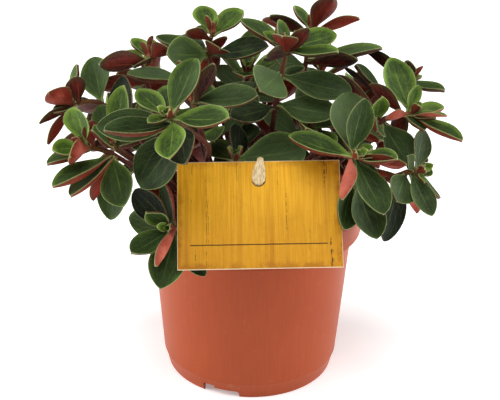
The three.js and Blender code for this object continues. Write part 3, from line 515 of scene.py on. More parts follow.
@dataclass(frozen=True)
class CardFinish:
    """Card printed with upright golden planks, with a pale cut edge and no lettering."""

    honey: str = "e0a012"
    gold: str = "f6b92b"
    oak: str = "a5660c"
    crack: str = "3a200c"
    cut: str = "e0d0a4"
    rear: str = "e9e2d2"
    rule_height: float = -15.3

    def material(self, sheet: "Card") -> Material:
        """The card's material.

        Args:
            sheet: The card, for its size and its place.

        Returns:
            The material.
        """
        graph = Graph("printed_planks")
        turn = sheet.frame().to_euler()
        sockets = {"Vector": graph.places(), "Location": sheet.middle, "Rotation": turn}
        places = graph.add("ShaderNodeMapping", {"vector_type": "TEXTURE"}, sockets)
        across, up, through = (graph.coordinate(places, axis) for axis in "XYZ")
        grain = graph.noise(graph.stretched(places, (1.0, 0.03, 1.0)), 1500.0, 3.0, 0.6)
        bands = graph.noise(graph.stretched(places, (1.0, 0.03, 1.0)), 260.0, 3.0)
        blotch = graph.noise(places, 90.0, 5.0, 0.7)
        speck = graph.noise(places, 1300.0, 3.0, 0.7)
        half_across = sheet.width * MM / 2
        half_up = sheet.height * MM / 2
        rim = (half_across - abs(across)).at_most(half_up - abs(up))
        wood = graph.mixed(grain.rises(0.3, 0.7), self.honey, self.gold)
        # Painted shade: the wood darkens towards the bottom of the card.
        painted_shade_low = up.rises(0.02, -half_up) * 0.5
        corner = across.rises(0.012, half_across) * up.rises(0.0, half_up) * 0.55
        worn = rim.rises(0.0045, 0.0) * blotch.rises(0.35, 0.65) * 0.6
        tint = bands.rises(0.5, 0.75) * 0.28 + blotch.rises(0.5, 0.8) * 0.22 + speck.rises(0.5, 0.8) * 0.2
        wood = graph.mixed((tint + painted_shade_low + corner + worn).at_most(0.9), wood, self.oak)
        marks = self.cracks(graph, places, across, up)
        wood = graph.mixed(marks, wood, self.crack)
        front = graph.mixed(rim.rises(0.00035, 0.0001), wood, self.cut)
        face = graph.mixed(through.rises(0.0, 0.0003), self.rear, front)
        others = {"Normal": graph.bumped(grain, 0.00004, 0.5)}
        return graph.finish(face, 0.5 + grain * 0.1, 0.2, others)

    def cracks(self, graph: Graph, places: Wire, across: Wire, up: Wire) -> Wire:
        """The printed cracks between the boards, from 0 to 1.

        Args:
            graph: The card's graph.
            places: Coordinates on the card.
            across: The place across the card.
            up: The place up the card.

        Returns:
            Where the cracks are.
        """
        wander = (graph.noise(graph.stretched(places, (0.2, 1.0, 1.0)), 160.0, 3.0) - 0.5) * 0.0016
        broken = graph.noise(places, 500.0, 3.0)
        marks: Any = 0.0
        fade = 1.5
        for x, low, high, wide in (
            (33.2, 14.0, 27.5, 0.55),
            (34.3, 19.0, 27.5, 0.25),
            (35.4, -27.0, -13.0, 0.55),
            (36.2, -24.0, -18.0, 0.25),
            (13.6, -11.0, 12.0, 0.2),
            (-26.5, -26.0, 20.0, 0.16),
            (-25.6, -14.0, 8.0, 0.14),
            (-32.0, -26.0, -18.0, 0.22),
            (-33.5, 17.0, 27.0, 0.2),
            (24.5, -22.0, -8.0, 0.14),
            (9.5, 14.0, 27.0, 0.12),
            (-11.0, 16.0, 27.0, 0.12),
        ):
            line = abs(across - x * MM + wander).rises(wide * MM, wide * MM * 0.25)
            above = up.rises((low - fade) * MM, (low + fade) * MM)
            below = up.rises((high + fade) * MM, (high - fade) * MM)
            marks = line * (above * below) * broken.rises(0.4, 0.55) + marks
        level = up - self.rule_height * MM + (graph.noise(places, 120.0, 2.0) - 0.5) * 0.0003
        rule = abs(level).rises(0.0004, 0.0002) * abs(across + 0.0005).rises(0.0345, 0.0338)
        marks = rule * broken.rises(0.2, 0.35) + marks
        specks = graph.noise(graph.stretched(places, (1.0, 0.12, 1.0)), 900.0, 2.0).rises(0.74, 0.8)
        return (marks + specks * 0.5).at_most(0.9)


@dataclass(frozen=True)
class RibbonFinish:
    """Thin cream ribbon with a soft shine and fine creases along it."""

    cream: str = "f0ddb0"
    fold_shade_gold: str = "c9a566"

    def material(self) -> Material:
        """The ribbon's material."""
        graph = Graph("cream_ribbon")
        places = graph.places()
        creases = graph.noise(graph.stretched(places, (1.0, 0.3, 0.3)), 1500.0, 4.0, 0.65)
        cells = graph.add("ShaderNodeTexVoronoi", {}, {"Vector": places, "Scale": 900.0}, "Distance")
        # Darker gold where the creases sink: partly the ribbon's own golden tone, partly painted shade in
        # the folds.
        skin = graph.mixed(creases.rises(0.35, 0.65), self.fold_shade_gold, self.cream)
        others = {
            "Normal": graph.bumped(creases * 0.7 + cells * 0.4, 0.0005, 1.0),
            "Coat Weight": 0.3,
        }
        return graph.finish(skin, 0.28 + creases * 0.2, 0.6, others)


@dataclass(frozen=True)
class FloorFinish:
    """A plain white studio sweep."""

    white: str = "fbfbfb"

    def material(self) -> Material:
        """The floor's material."""
        others = {"Emission Color": "ffffff", "Emission Strength": 0.25}
        return Graph("studio_floor").finish(self.white, 0.9, 0.1, others)


# Where the photograph is taken from, in millimetres and its own pixels


class Side(Enum):
    """Whether a leaf's tip is nearer to the camera than its whorl or farther from it."""

    NEAR = -1
    FAR = 1


NEAR, FAR = Side.NEAR, Side.FAR


@dataclass(frozen=True)
class Viewpoint:
    """The camera's place and the lines of sight through its pixels."""

    focal: float = 1078.0
    centre_x: float = 250.0
    centre_y: float = 200.0
    place: tuple[float, float, float] = (-1.3, -539.0, 338.0)
    tilt: float = 24.1
    roll: float = 1.01
    sensor: float = 36.0

    def line(self, pixel_x: float, pixel_y: float) -> np.ndarray:
        """The unit line of sight through a pixel, counted from the top left."""
        roll, tilt = math.radians(self.roll), math.radians(self.tilt)
        right, down = pixel_x - self.centre_x, pixel_y - self.centre_y
        across = (right * math.cos(roll) + down * math.sin(roll)) / self.focal
        below = (down * math.cos(roll) - right * math.sin(roll)) / self.focal
        forward = math.cos(tilt) - below * math.sin(tilt)
        up = -math.sin(tilt) - below * math.cos(tilt)
        return unit(np.array([across, forward, up]))

    def seen(self, pixel_x: float, pixel_y: float, depth: float) -> np.ndarray:
        """The point behind a pixel at a distance along +Y from the pot's axis."""
        line, eye = self.line(pixel_x, pixel_y), np.array(self.place)
        return eye + line * (depth - eye[1]) / line[1]

    def reached(
        self, base: np.ndarray, pixel_x: float, pixel_y: float, distance: float, side: Side
    ) -> np.ndarray:
        """The point behind a pixel at a distance from a base.

        Args:
            base: Where the distance is measured from.
            pixel_x: The pixel's column.
            pixel_y: The pixel's row.
            distance: How far the point is from the base.
            side: Whether it is the near or the far one of the two such points.

        Returns:
            The point.
        """
        line, eye = self.line(pixel_x, pixel_y), np.array(self.place)
        foot = eye + line * line.dot(base - eye)
        spare = distance**2 - float(np.sum((foot - base) ** 2))
        return foot + line * side.value * math.sqrt(max(spare, 0.0))

    def camera(self) -> Object:
        """Makes the scene's camera."""
        data = bpy.data.cameras.new("camera")
        data.sensor_width = self.sensor
        data.lens = self.sensor * self.focal / (2 * self.centre_x)
        data.clip_start, data.clip_end = 0.01, 20.0
        camera = linked("camera", data)
        tip = Matrix.Rotation(math.radians(90 - self.tilt), 4, "X")
        lean = Matrix.Rotation(math.radians(self.roll), 4, "Z")
        camera.matrix_world = Matrix.Translation(Vector(self.place) * MM) @ tip @ lean
        bpy.context.scene.camera = camera
        return camera


VIEW = Viewpoint()


# The plant as it is laid out


@dataclass(frozen=True)
class Leaf:
    """A leaf by the pixel of its tip, its size in millimetres and the share of its width that shows.

    A negative share shows the underside. The tone runs from -1, deep green, to 1, fresh green; the painted
    sheen is how grey the velvet's sheen is painted, and the blush runs from -1, dark wine, to 1, rose, on
    the underside. For many leaves the tone and the blush also hold painted shade and painted light, set to
    how that leaf is lit.
    """

    x: float
    y: float
    long: float
    wide: float
    side: Side
    show: float
    tone: float = 0.0
    frost: float = 0.0
    blush: float = 0.0


@dataclass(frozen=True)
class SeenWhorl:
    """A ring of leaves by its pixel and depth, the bearing and rise of its axis, and its leaves."""

    place: tuple[float, float, float]
    faces: tuple[float, float]
    leaves: tuple[Leaf, ...]


@dataclass(frozen=True)
class SeenShoot:
    """A shoot that the photograph shows, from its crown downwards."""

    name: str
    root: tuple[float, float]
    bends: tuple[tuple[float, float, float], ...]
    whorls: tuple[SeenWhorl, ...]


@dataclass(frozen=True)
class RuleShoot:
    """A shoot inside the plant or at its rear, with its crown's place in millimetres."""

    name: str
    root: tuple[float, float]
    crown: tuple[float, float, float]
    faces: tuple[float, float]
    whorls: int


@dataclass(frozen=True)
class RuleWhorl:
    """A ring of like leaves at a distance below a crown."""

    below: float
    count: int
    long: float
    wide: float
    lean: float


RULE_WHORLS = (
    RuleWhorl(0, 4, 22, 12.5, 58),
    RuleWhorl(12, 4, 28, 16, 80),
    RuleWhorl(27, 3, 31, 17, 95),
)

# For many leaves the tone and the blush were set to how that leaf is lit, so they hold painted shade and
# painted light; the third number is a grey sheen painted on each leaf.
SEEN_SHOOTS = (
    SeenShoot("front_left", (-16, -16), ((207, 163, -25), (208, 146, -37)), (
        SeenWhorl((169, 116, -58), (-112, 48), (
            Leaf(194, 57, 33, 17, FAR, 0.75, 0.35), Leaf(229, 117, 30, 15, NEAR, 0.7, 0.45),
            Leaf(168, 157, 27, 14.5, NEAR, 0.85, 0.75), Leaf(137, 89, 23, 12, FAR, 0.8, 0.65),
            Leaf(163, 86, 20, 10, FAR, 0.8, 0.4), Leaf(176, 95, 13, 8, FAR, 0.6, 0.35),
            Leaf(148, 121, 12, 7, NEAR, 0.6, 0.45),
        )),
        SeenWhorl((176, 122, -53), (-112, 48), (
            Leaf(104, 131, 37, 15, NEAR, 0.6, -0.15), Leaf(96, 126, 39, 16.5, FAR, 0.95, -0.15, 0.2),
            Leaf(139, 187, 37, 23, FAR, 0.85, -0.2), Leaf(184, 163, 27, 15, NEAR, 0.85, -0.8, 0.1),
        )),
    )),
    SeenShoot("behind_left", (-16, -6), (), (
        SeenWhorl((192, 99, -28), (100, 70), (
            Leaf(257, 94, 34, 15.5, NEAR, 0.72, -0.1, 0.35), Leaf(214, 64, 26, 12, NEAR, -0.6, 0, 0, -1),
            Leaf(260, 84, 37, 14, FAR, 0.6, -0.6),
        )),
    )),
    SeenShoot("left_inner", (-26, -8), (), (
        SeenWhorl((111, 142, -28), (170, 50), (
            Leaf(122, 86, 31, 13, NEAR, 0.8, 0.6), Leaf(99, 105, 23, 14, FAR, 0.85, 0.3, 0.45),
            Leaf(94, 129, 20, 12, NEAR, 0.6, 0.3, 0.2), Leaf(136, 101, 26, 11, FAR, 0.6, -0.3, 0.1),
        )),
        SeenWhorl((114, 147, -26), (170, 50), (
            Leaf(124, 76, 38, 16, FAR, 0.75, -0.95),
        )),
    )),
    SeenShoot("far_left", (-34, 0), (), (
        SeenWhorl((70, 105, -12), (150, 45), (
            Leaf(75, 64, 23, 9, FAR, 0.5, 0.2, 0.1, 0.2), Leaf(48, 92, 20, 14, NEAR, -0.8, 0.1, 0, 0.3),
            Leaf(75, 76, 18, 11, NEAR, -0.7, 0, 0, -0.3), Leaf(76, 88, 12, 7, FAR, 0.6, 0.2, 0.3),
            Leaf(38, 122, 21, 7.5, NEAR, -0.5, 0.5, 0, -0.3), Leaf(53, 111.5, 13, 8, NEAR, 0.6, 0.5, 0.2),
            Leaf(47, 144, 25, 9, NEAR, -0.6, 0.6, 0, 0.2),
        )),
        SeenWhorl((99, 103, -14), (150, 45), (
            Leaf(91, 58, 27, 17, FAR, 0.85, 0.35, 0.25), Leaf(79, 108, 22, 13, FAR, -0.7, 0, 0, -0.6),
        )),
    )),
    SeenShoot("left_low", (-30, -18), (), (
        SeenWhorl((83, 146, -36), (160, 45), (
            Leaf(73, 108, 21, 17, NEAR, 0.9, 0.65), Leaf(68, 156, 18, 13, NEAR, -0.7, 0.3, 0, 0.5),
            Leaf(91, 120, 17, 12, NEAR, -0.7, 0.1, 0, 0.1), Leaf(53, 148.5, 17, 10, NEAR, 0.6, 0.8),
            Leaf(81, 127, 11, 7, FAR, -0.5, 0.3, 0, -0.1), Leaf(46, 162, 23, 11, NEAR, 0.5, 0.2, 0.1, 0.2),
        )),
        SeenWhorl((110, 153, -36), (-100, 50), (
            Leaf(52, 186, 34, 17, NEAR, 0.5, 0.4, 0.1, 0.3),
            Leaf(69, 194, 30, 14, NEAR, 0.55, 0.3, 0.9, 0.3), Leaf(91, 199, 27, 13, FAR, -0.5, 0, 0, 0.2),
            Leaf(122, 206, 29, 18, NEAR, 0.9, 0.25, 0.1), Leaf(110, 220, 35, 17, FAR, 0.8, 0.1, 0.2),
        )),
    )),
    SeenShoot("hanging_left", (-27, -33), ((184, 226, -43),), (
        SeenWhorl((171, 228, -52), (-115, 25), (
            Leaf(146, 213, 17, 10, NEAR, 0.75, 0.4, 0.05),
            Leaf(163, 183, 24, 12, FAR, 0.68, 0.05, 0.1, 0.6), Leaf(128, 219, 25, 16, FAR, 0.88, 0.05, 0.1),
            Leaf(131, 252, 25, 14, NEAR, 0.8, 0.1), Leaf(154, 266, 26, 9, NEAR, -0.5, 0.1, 0, 0.75),
            Leaf(160, 288, 31, 18, NEAR, 0.95, 0.2, 0.05), Leaf(134, 190, 27, 16, FAR, 0.6, -0.8),
            Leaf(205, 276, 27, 12, FAR, 0.95, -0.3),
        )),
    )),
    SeenShoot("top_left", (-22, 8), (), (
        SeenWhorl((150, 56, 8), (110, 60), (
            Leaf(134, 37, 15, 11, FAR, 0.7, 0.8), Leaf(151, 36, 12, 8, FAR, -0.5, 0.4, 0, 0.2),
            Leaf(154, 40, 9, 7, FAR, 0.8, 0.8, 0, 0.2), Leaf(168, 46, 13, 12, NEAR, -0.6, 0.2, 0.1),
            Leaf(98, 63, 28, 13, NEAR, -0.65, 0.3, 0, -0.3), Leaf(124, 51, 16, 9, FAR, 0.7, 0.8),
            Leaf(133, 65, 14, 9, NEAR, 0.4, 0.3, 0, -0.2),
        )),
        SeenWhorl((146, 80, 8), (110, 60), (
            Leaf(97, 87, 29, 13, NEAR, -0.7, 0, 0, -0.2),
        )),
    )),
    SeenShoot("top_middle", (-6, 14), (), (
        SeenWhorl((213, 31, 22), (120, 80), (
            Leaf(201, 5, 17, 13, FAR, 0.87, 0.7), Leaf(241, 9, 22, 15, FAR, 0.7, 0.75, 0, 0.2),
            Leaf(186, 31, 17, 10, NEAR, -0.6, 0.3), Leaf(194, 29, 12, 8, FAR, 0.6, 0.2, 0.1),
        )),
        SeenWhorl((209, 50, 20), (120, 80), (
            Leaf(156, 37, 30, 14, FAR, 0.5, 0.2, 0.1, -0.4), Leaf(168, 53, 26, 18, NEAR, 0.85, 0.4, 0.6),
            Leaf(181, 34, 19, 11, FAR, 0.6, 0, 0.6), Leaf(221, 47, 18, 14, NEAR, -0.7, 0.1, 0.1, -0.05),
            Leaf(268, 45, 33, 14, NEAR, 0.65, -0.5, 0.1),
        )),
    )),
    SeenShoot("left_middle", (-20, 2), (), (
        SeenWhorl((187, 78, -6), (120, 75), (
            Leaf(127, 73, 29, 14, NEAR, 0.52, -0.15, 0.7),
        )),
    )),
    SeenShoot("top_centre", (6, 6), (), (
        SeenWhorl((288, 46, 8), (90, 80), (
            Leaf(241, 18, 31, 13, FAR, 0.57, 0.2, 0.1, -0.3), Leaf(264, 31, 16, 10, FAR, 0.6, 0.6),
            Leaf(281, 19, 16, 9, FAR, 0.7, 0.5), Leaf(277, 27, 12, 8, FAR, 0.6, 0.3, 0.1),
            Leaf(283, 34, 16, 14, NEAR, -0.9, 0.3, 0, 0.15),
            Leaf(309, 28, 16, 11, NEAR, -0.55, 0.1, 0, -0.4),
            Leaf(337, 33, 28, 13, FAR, 0.62, 0.6, 0, -0.1), Leaf(338, 51, 27, 13, NEAR, 0.75, 0.4, 0, -0.6),
            Leaf(265, 56, 20, 12, NEAR, -0.6, 0, 0, -0.8),
        )),
        SeenWhorl((282, 71, 4), (90, 80), (
            Leaf(261, 90, 28, 22, NEAR, 0.95, 0.1, 0.8), Leaf(352, 92, 38, 16, NEAR, 0.85, -0.2, 0.3),
            Leaf(303, 67, 16, 9, FAR, 0.6, -0.1, 0.2),
        )),
        SeenWhorl((276, 102, 0), (90, 80), (
            Leaf(335, 113, 32, 17, NEAR, 0.83, 0.05, 0.2), Leaf(231, 116, 27, 17, NEAR, 0.75, -0.8, 0.2),
        )),
    )),
    SeenShoot("top_right", (16, 20), (), (
        SeenWhorl((312, 28, 34), (70, 55), (
            Leaf(333, -4, 25, 15, NEAR, -0.8, 0, 0, -0.25),
            Leaf(359, 16, 27, 12, NEAR, -0.45, 0.5, 0, 0.35),
            Leaf(270, 15, 25, 13, NEAR, -0.5, 0.2, 0, -0.4), Leaf(295, 5, 17, 9, FAR, 0.6, 0.5, 0.1),
            Leaf(263, 19, 28, 12, FAR, -0.5, 0, 0, -0.2),
        )),
        SeenWhorl((307, 57, 32), (70, 55), (
            Leaf(382, 46, 38, 14, FAR, 0.48, 0.5, 0.65, -0.3),
            Leaf(358, 60, 27, 13, NEAR, -0.5, 0, 0, -0.55), Leaf(277, 60, 18, 12, NEAR, 0.8, 0, 0.4),
        )),
    )),
    SeenShoot("front_right", (18, -14), ((312, 156, -26), (333, 154, -31)), (
        SeenWhorl((356, 157, -48), (-70, 42), (
            Leaf(289, 134, 36, 15, FAR, 0.65, 0.6, 0, 0.15), Leaf(349, 92, 34, 22, FAR, 0.95, 0.1, 0.8),
            Leaf(366, 99, 30, 15, FAR, 0.8, 0.05), Leaf(346, 136, 14, 8, FAR, 0.5, 0.45),
            Leaf(397, 157, 22, 12, NEAR, 0.6, 0.35, 0, 0.2), Leaf(407, 163, 26, 9, NEAR, -0.5, 0.1, 0, 0.1),
            Leaf(385, 213, 32, 17, NEAR, 0.88, 0.05), Leaf(343, 200, 24, 14, NEAR, -0.4, 0.1, 0, 0.95),
            Leaf(373, 146, 11, 6, FAR, 0.5, 0.6, 0, 0.2), Leaf(372, 157, 9, 6, NEAR, 0.5, 0.7),
        )),
    )),
    SeenShoot("right_low", (22, -16), (), (
        SeenWhorl((357, 180, -40), (-60, 30), (
            Leaf(378, 238, 32, 17, NEAR, 0.85, -0.05, 0.15), Leaf(344, 229, 25, 14, NEAR, 0.8, 0.2),
        )),
    )),
    SeenShoot("right", (30, 2), (), (
        SeenWhorl((413, 113, -8), (-30, 60), (
            Leaf(391, 57, 33, 17, FAR, 0.9, 0.6, 0.1), Leaf(419, 85, 16, 8, FAR, 0.8, 0.8, 0.1),
            Leaf(444, 106, 17, 11, FAR, 0.6, 0.8, 0.2, 0.6),
            Leaf(447, 113, 19, 7.5, NEAR, -0.4, 0.2, 0.1, 0.9), Leaf(436, 117, 13, 8, NEAR, 0.6, 0.4),
            Leaf(425, 129, 14, 9, NEAR, 0.75, -0.3, 0.1), Leaf(463, 139, 31, 13, NEAR, 0.5, 0.5, 0, 0.3),
            Leaf(385, 117, 17, 8, NEAR, -0.6, 0, 0, 0.7), Leaf(371, 83, 26, 12, NEAR, -0.6, 0.1, 0, -0.3),
        )),
        SeenWhorl((383, 120, -10), (-30, 60), (
            Leaf(409, 163, 26, 18, NEAR, 0.9, -0.1, 0.1), Leaf(378, 131, 14, 11, NEAR, 0.6, -0.1, 0.4),
            Leaf(383, 97, 14, 10, NEAR, 0.8, 1), Leaf(337, 75, 36, 13, FAR, -0.55, -0.1, 0, -0.5),
        )),
    )),
    SeenShoot("right_top", (26, 16), (), (
        SeenWhorl((411, 79, 22), (40, 60), (
            Leaf(409, 60, 12, 9, NEAR, -0.7, 0.1, 0, -0.4), Leaf(421, 75, 9, 6, FAR, 0.6, 0.4),
            Leaf(445, 89, 20, 11, NEAR, 0.45, 0.2, 0, -0.25), Leaf(369, 50, 25, 12, FAR, -0.5, 0, 0, -0.7),
            Leaf(408, 86, 14, 10, NEAR, -0.6, 0, 0, 0.3),
        )),
        SeenWhorl((384, 91, 18), (40, 60), (
            Leaf(356, 64, 20, 11, FAR, 0.4, -0.2, 0.3, -0.3),
            Leaf(347, 66, 22, 12, FAR, -0.4, -0.1, 0, -0.6),
        )),
    )),
    SeenShoot("right_side", (28, -14), (), (
        SeenWhorl((419, 171, -22), (-45, 35), (
            Leaf(425, 129, 23, 13, FAR, 0.82, -0.3, 0.1), Leaf(408, 156, 13, 8, NEAR, 0.7, 0, 0.5, -0.4),
            Leaf(431, 168, 10, 10, FAR, 0.8, 0.3, 0.1), Leaf(425, 182, 8, 5, NEAR, 0.5, 0.35, 0.1),
            Leaf(440, 198, 20, 10, FAR, 0.6, -0.1, 0.1), Leaf(433, 215, 25, 12, NEAR, 0.85, -0.15, 0.1),
        )),
        SeenWhorl((408, 172, -22), (-45, 35), (
            Leaf(399, 201, 20, 17, NEAR, 0.87, -0.1, 0.3), Leaf(386, 242, 37, 15, FAR, 0.77, -1.2),
            Leaf(419, 212, 22, 11, FAR, -0.4, 0, 0.5, 0.7),
        )),
    )),
    SeenShoot("centre_front", (2, -14), (), (
        SeenWhorl((235, 158, -22), (-90, 65), (
            Leaf(306, 149, 37, 22, FAR, 0.97, 0.35, 0.4), Leaf(210, 142, 24, 15, FAR, 0.9, 0.7, 0.4),
            Leaf(237, 124, 22, 14, FAR, 0.7, -0.8, 0.1),
        )),
    )),
)

RULE_SHOOTS = (
    RuleShoot("inner_left", (-8, 2), (-22, 2, 142), (-120, 55), 2),
    RuleShoot("inner_right", (10, -2), (30, 4, 140), (-60, 55), 2),
    RuleShoot("inner_far_left", (-31, 8), (-55, 6, 135), (-160, 50), 2),
    RuleShoot("inner_far_right", (33, 9), (58, 10, 134), (-20, 50), 2),
    RuleShoot("inner_middle", (2, 24), (-4, 34, 160), (-90, 70), 2),
    RuleShoot("rear_left_side", (-38, 14), (-86, 30, 126), (160, 35), 3),
    RuleShoot("rear_left", (-22, 28), (-62, 56, 144), (130, 50), 3),
    RuleShoot("rear_left_low", (-26, 40), (-52, 64, 108), (125, 15), 2),
    RuleShoot("rear_left_top", (-8, 34), (-32, 50, 160), (110, 65), 3),
    RuleShoot("rear_middle", (6, 40), (6, 65, 140), (90, 45), 3),
    RuleShoot("rear_middle_low", (2, 49), (4, 69, 108), (90, 15), 2),
    RuleShoot("rear_right_top", (18, 34), (38, 48, 158), (70, 65), 3),
    RuleShoot("rear_right", (30, 26), (60, 58, 138), (50, 50), 3),
    RuleShoot("rear_right_low", (30, 38), (56, 60, 108), (50, 15), 2),
    RuleShoot("rear_right_side", (41, 12), (78, 32, 117), (25, 30), 3),
)


class Dice:
    """A seeded sequence of numbers, the same in each run."""

    def __init__(self, seed: int) -> None:
        """Starts the sequence."""
        self.state = seed

    def roll(self) -> float:
        """The next number from 0 to 1."""
        self.state = self.state * 48271 % 2147483647
        return self.state / 2147483647

    def around(self, middle: float, spread: float) -> float:
        """The next number within a spread of a middle."""
        return middle + spread * (2 * self.roll() - 1)


class SmoothPath:
    """A smooth curve through points, paced by the distances between them."""

    def __init__(self, points: Sequence[np.ndarray]) -> None:
        """Holds the points, and measures the curve."""
        self.points = [np.asarray(point, float) for point in points]
        self.shares = np.linspace(0, 1, 201)
        line = np.array([self.point(share) for share in self.shares])
        steps = np.linalg.norm(np.diff(line, axis=0), axis=1)
        self.lengths = np.concatenate([[0.0], np.cumsum(steps)])
        self.length = float(self.lengths[-1])

    def point(self, share: float) -> np.ndarray:
        """The point at a share of the way from point to point."""
        last = len(self.points) - 1
        before = min(int(math.floor(last * share)), last - 1)
        weight = last * share - before
        p1, p2 = self.points[before], self.points[before + 1]
        p0 = self.points[before - 1] if before > 0 else 2 * p1 - p2
        p3 = self.points[before + 2] if before + 2 <= last else 2 * p2 - p1
        d0, d1, d2 = (math.sqrt(np.linalg.norm(b - a)) for a, b in ((p0, p1), (p1, p2), (p2, p3)))
        t1 = ((p1 - p0) / d0 - (p2 - p0) / (d0 + d1) + (p2 - p1) / d1) * d1
        t2 = ((p2 - p1) / d1 - (p3 - p1) / (d1 + d2) + (p3 - p2) / d2) * d1
        square = -3 * p1 + 3 * p2 - 2 * t1 - t2
        cube = 2 * p1 - 2 * p2 + t1 + t2
        return p1 + t1 * weight + square * weight**2 + cube * weight**3

    def point_at(self, share: float) -> np.ndarray:
        """The point at a share of the curve's length."""
        return self.point(float(np.interp(share * self.length, self.lengths, self.shares)))

    def along_at(self, share: float) -> np.ndarray:
        """The unit direction of the curve at a share of its length."""
        start, end = max(share - 0.0001, 0.0), min(share + 0.0001, 1.0)
        return unit(self.point_at(end) - self.point_at(start))


@dataclass(frozen=True)
class BladeForm:
    """The form that all leaves share, in millimetres and shares of their length."""

    petiole: float = 0.06
    widest: float = 0.56
    fullness: float = 0.6
    petiole_width: float = 2.0
    midrib_depth: float = 1.3
    trough: float = 0.22
    arch: float = -0.02
    sink: float = 0.6
    tier: float = 1.8
    pace: float = 0.01
    clearance: float = 0.8

    def outline(self, share: np.ndarray) -> np.ndarray:
        """Half the width at a share of the length, from 0 at both ends to 1 where it is widest."""
        inside = np.clip((np.asarray(share) - self.petiole) / (1 - self.petiole), 0, 1)
        power = math.log(0.5) / math.log(self.widest)
        return np.maximum(np.sin(math.pi * inside**power), 0) ** self.fullness


FORM = BladeForm()


class Blade:
    """One leaf's place: its base, its length and width, and the ways that it points and faces."""

    def __init__(
        self, base: np.ndarray, tip: np.ndarray, wide: float, faces: np.ndarray, turn: float
    ) -> None:
        """Places a leaf.

        Args:
            base: Where it leaves its stem.
            tip: Its tip.
            wide: Its width.
            faces: The way that its upper face looks, roughly.
            turn: How far it is turned about its length from there, in degrees.
        """
        self.base = base
        self.long = float(np.linalg.norm(tip - base))
        self.wide = wide
        self.along = unit(tip - base)
        normal = unit(faces - self.along * faces.dot(self.along))
        self.normal = turned_about(normal, self.along, turn)
        self.across = np.cross(self.along, self.normal)
        self.deep = FORM.midrib_depth * (0.8 if wide < 9 else 1.0)
        self.look = Leaf(0, 0, self.long, wide, NEAR, 1.0)
        self._samples: dict[int, np.ndarray] = {}

    def half_width(self, share: np.ndarray) -> np.ndarray:
        """Half the width at a share of the length."""
        blade = self.wide / 2 * FORM.outline(share)
        return np.where(np.asarray(share) < 0.3, np.maximum(blade, FORM.petiole_width / 2), blade)

    def lift(self, share: np.ndarray, side: np.ndarray) -> np.ndarray:
        """How far the blade arches above its straight line, with both margins raised."""
        arch = self.long * FORM.arch * 4 * share * (1 - share)
        return arch + FORM.trough * self.half_width(share) * np.abs(side) ** 1.5

    def samples(self, first: int) -> np.ndarray:
        """Points all over the blade between its faces, from some fourteenths of its length on."""
        if first not in self._samples:
            share, side = np.meshgrid(np.arange(first, 15) / 14, np.arange(-3, 4) / 3, indexing="ij")
            share, side = share.ravel(), side.ravel()
            height = self.lift(share, side) - self.deep / 2
            self._samples[first] = (
                self.base
                + np.outer(share * self.long, self.along)
                + np.outer(self.half_width(share) * side, self.across)
                + np.outer(height, self.normal)
            )
        return self._samples[first]

    def holds(self, points: np.ndarray, distance: float) -> bool:
        """Whether any of some points is in the blade or nearer to it than a distance."""
        away = points - self.base
        share = away @ self.along / self.long
        half = self.half_width(share) + distance
        side = np.abs(away @ self.across) / half
        raised = away @ self.normal
        capped = np.minimum(share, 1)
        top = raised - self.lift(capped, 1.0)
        bottom = raised - self.lift(capped, side)
        inside = (share >= 0) & (share <= 1 + distance / self.long) & (side <= 1)
        inside &= (top < distance) & (bottom > -self.deep * (1 - side) - distance)
        return bool(inside.any())

    def crosses(self, other: "Blade", first: int) -> bool:
        """Whether two leaves touch, from some fourteenths of their lengths on."""
        if np.linalg.norm(self.base - other.base) > self.long + other.long + 2:
            return False
        return other.holds(self.samples(first), FORM.clearance) or self.holds(
            other.samples(first), FORM.clearance
        )


def facing(base: np.ndarray, tip: np.ndarray, share: float, axis: np.ndarray) -> np.ndarray:
    """The way that an upper face looks where the camera sees a share of its full width.

    Args:
        base: The leaf's base.
        tip: Its tip.
        share: The share that is seen, negative where the underside is.
        axis: The axis of its whorl, which the face leans to.

    Returns:
        The direction.
    """
    along = unit(tip - base)
    eyeward = np.array(VIEW.place) - base
    eyeward = unit(eyeward - along * eyeward.dot(along))
    aside = np.cross(along, eyeward)
    leant = math.sqrt(1 - share**2) * (-1 if aside.dot(axis) < 0 else 1)
    return eyeward * share + aside * leant


class Whorl:
    """A place on a stem where leaves grow all round."""

    def __init__(self, centre: np.ndarray, faces: tuple[float, float]) -> None:
        """Holds the centre, and the axis by its bearing and rise."""
        self.centre = centre
        self.axis = direction(*faces)
        self.aside = unit(np.cross(self.axis, np.array([0.0, 0.0, 1.0])))
        self.beyond = np.cross(self.axis, self.aside)

    def grow_on(self, path: SmoothPath, along: float) -> None:
        """Sets the stem's path and the whorl's share of it."""
        self.path = path
        self.along = along

    def foot(self, tip: np.ndarray, tier: int) -> np.ndarray:
        """Where a leaf towards a tip leaves the stem, in one of three tiers."""
        away = tip - self.centre
        away = away - self.axis * away.dot(self.axis)
        if np.linalg.norm(away) > 0.01:
            away = unit(away)
        below = FORM.tier * (tier % 3) + 0.6
        reach = float(np.linalg.norm(self.path.point(self.along - FORM.pace) - self.centre))
        return self.path.point(self.along - FORM.pace * below / reach) + away * FORM.sink

    def outward(self, turn: float, lean: float) -> np.ndarray:
        """A unit vector leant away from the axis, at a turn about it, in degrees."""
        level = math.sin(math.radians(lean))
        return (
            self.axis * math.cos(math.radians(lean))
            + self.aside * level * math.cos(math.radians(turn))
            + self.beyond * level * math.sin(math.radians(turn))
        )


@dataclass(frozen=True)
class StemForm:
    """The stems' sizes, in millimetres."""

    radius: float = 1.7
    step: float = 15.0
    root_height: float = 78.3
    collar_height: float = 87.0
    rise_height: float = 93.0


STEM = StemForm()


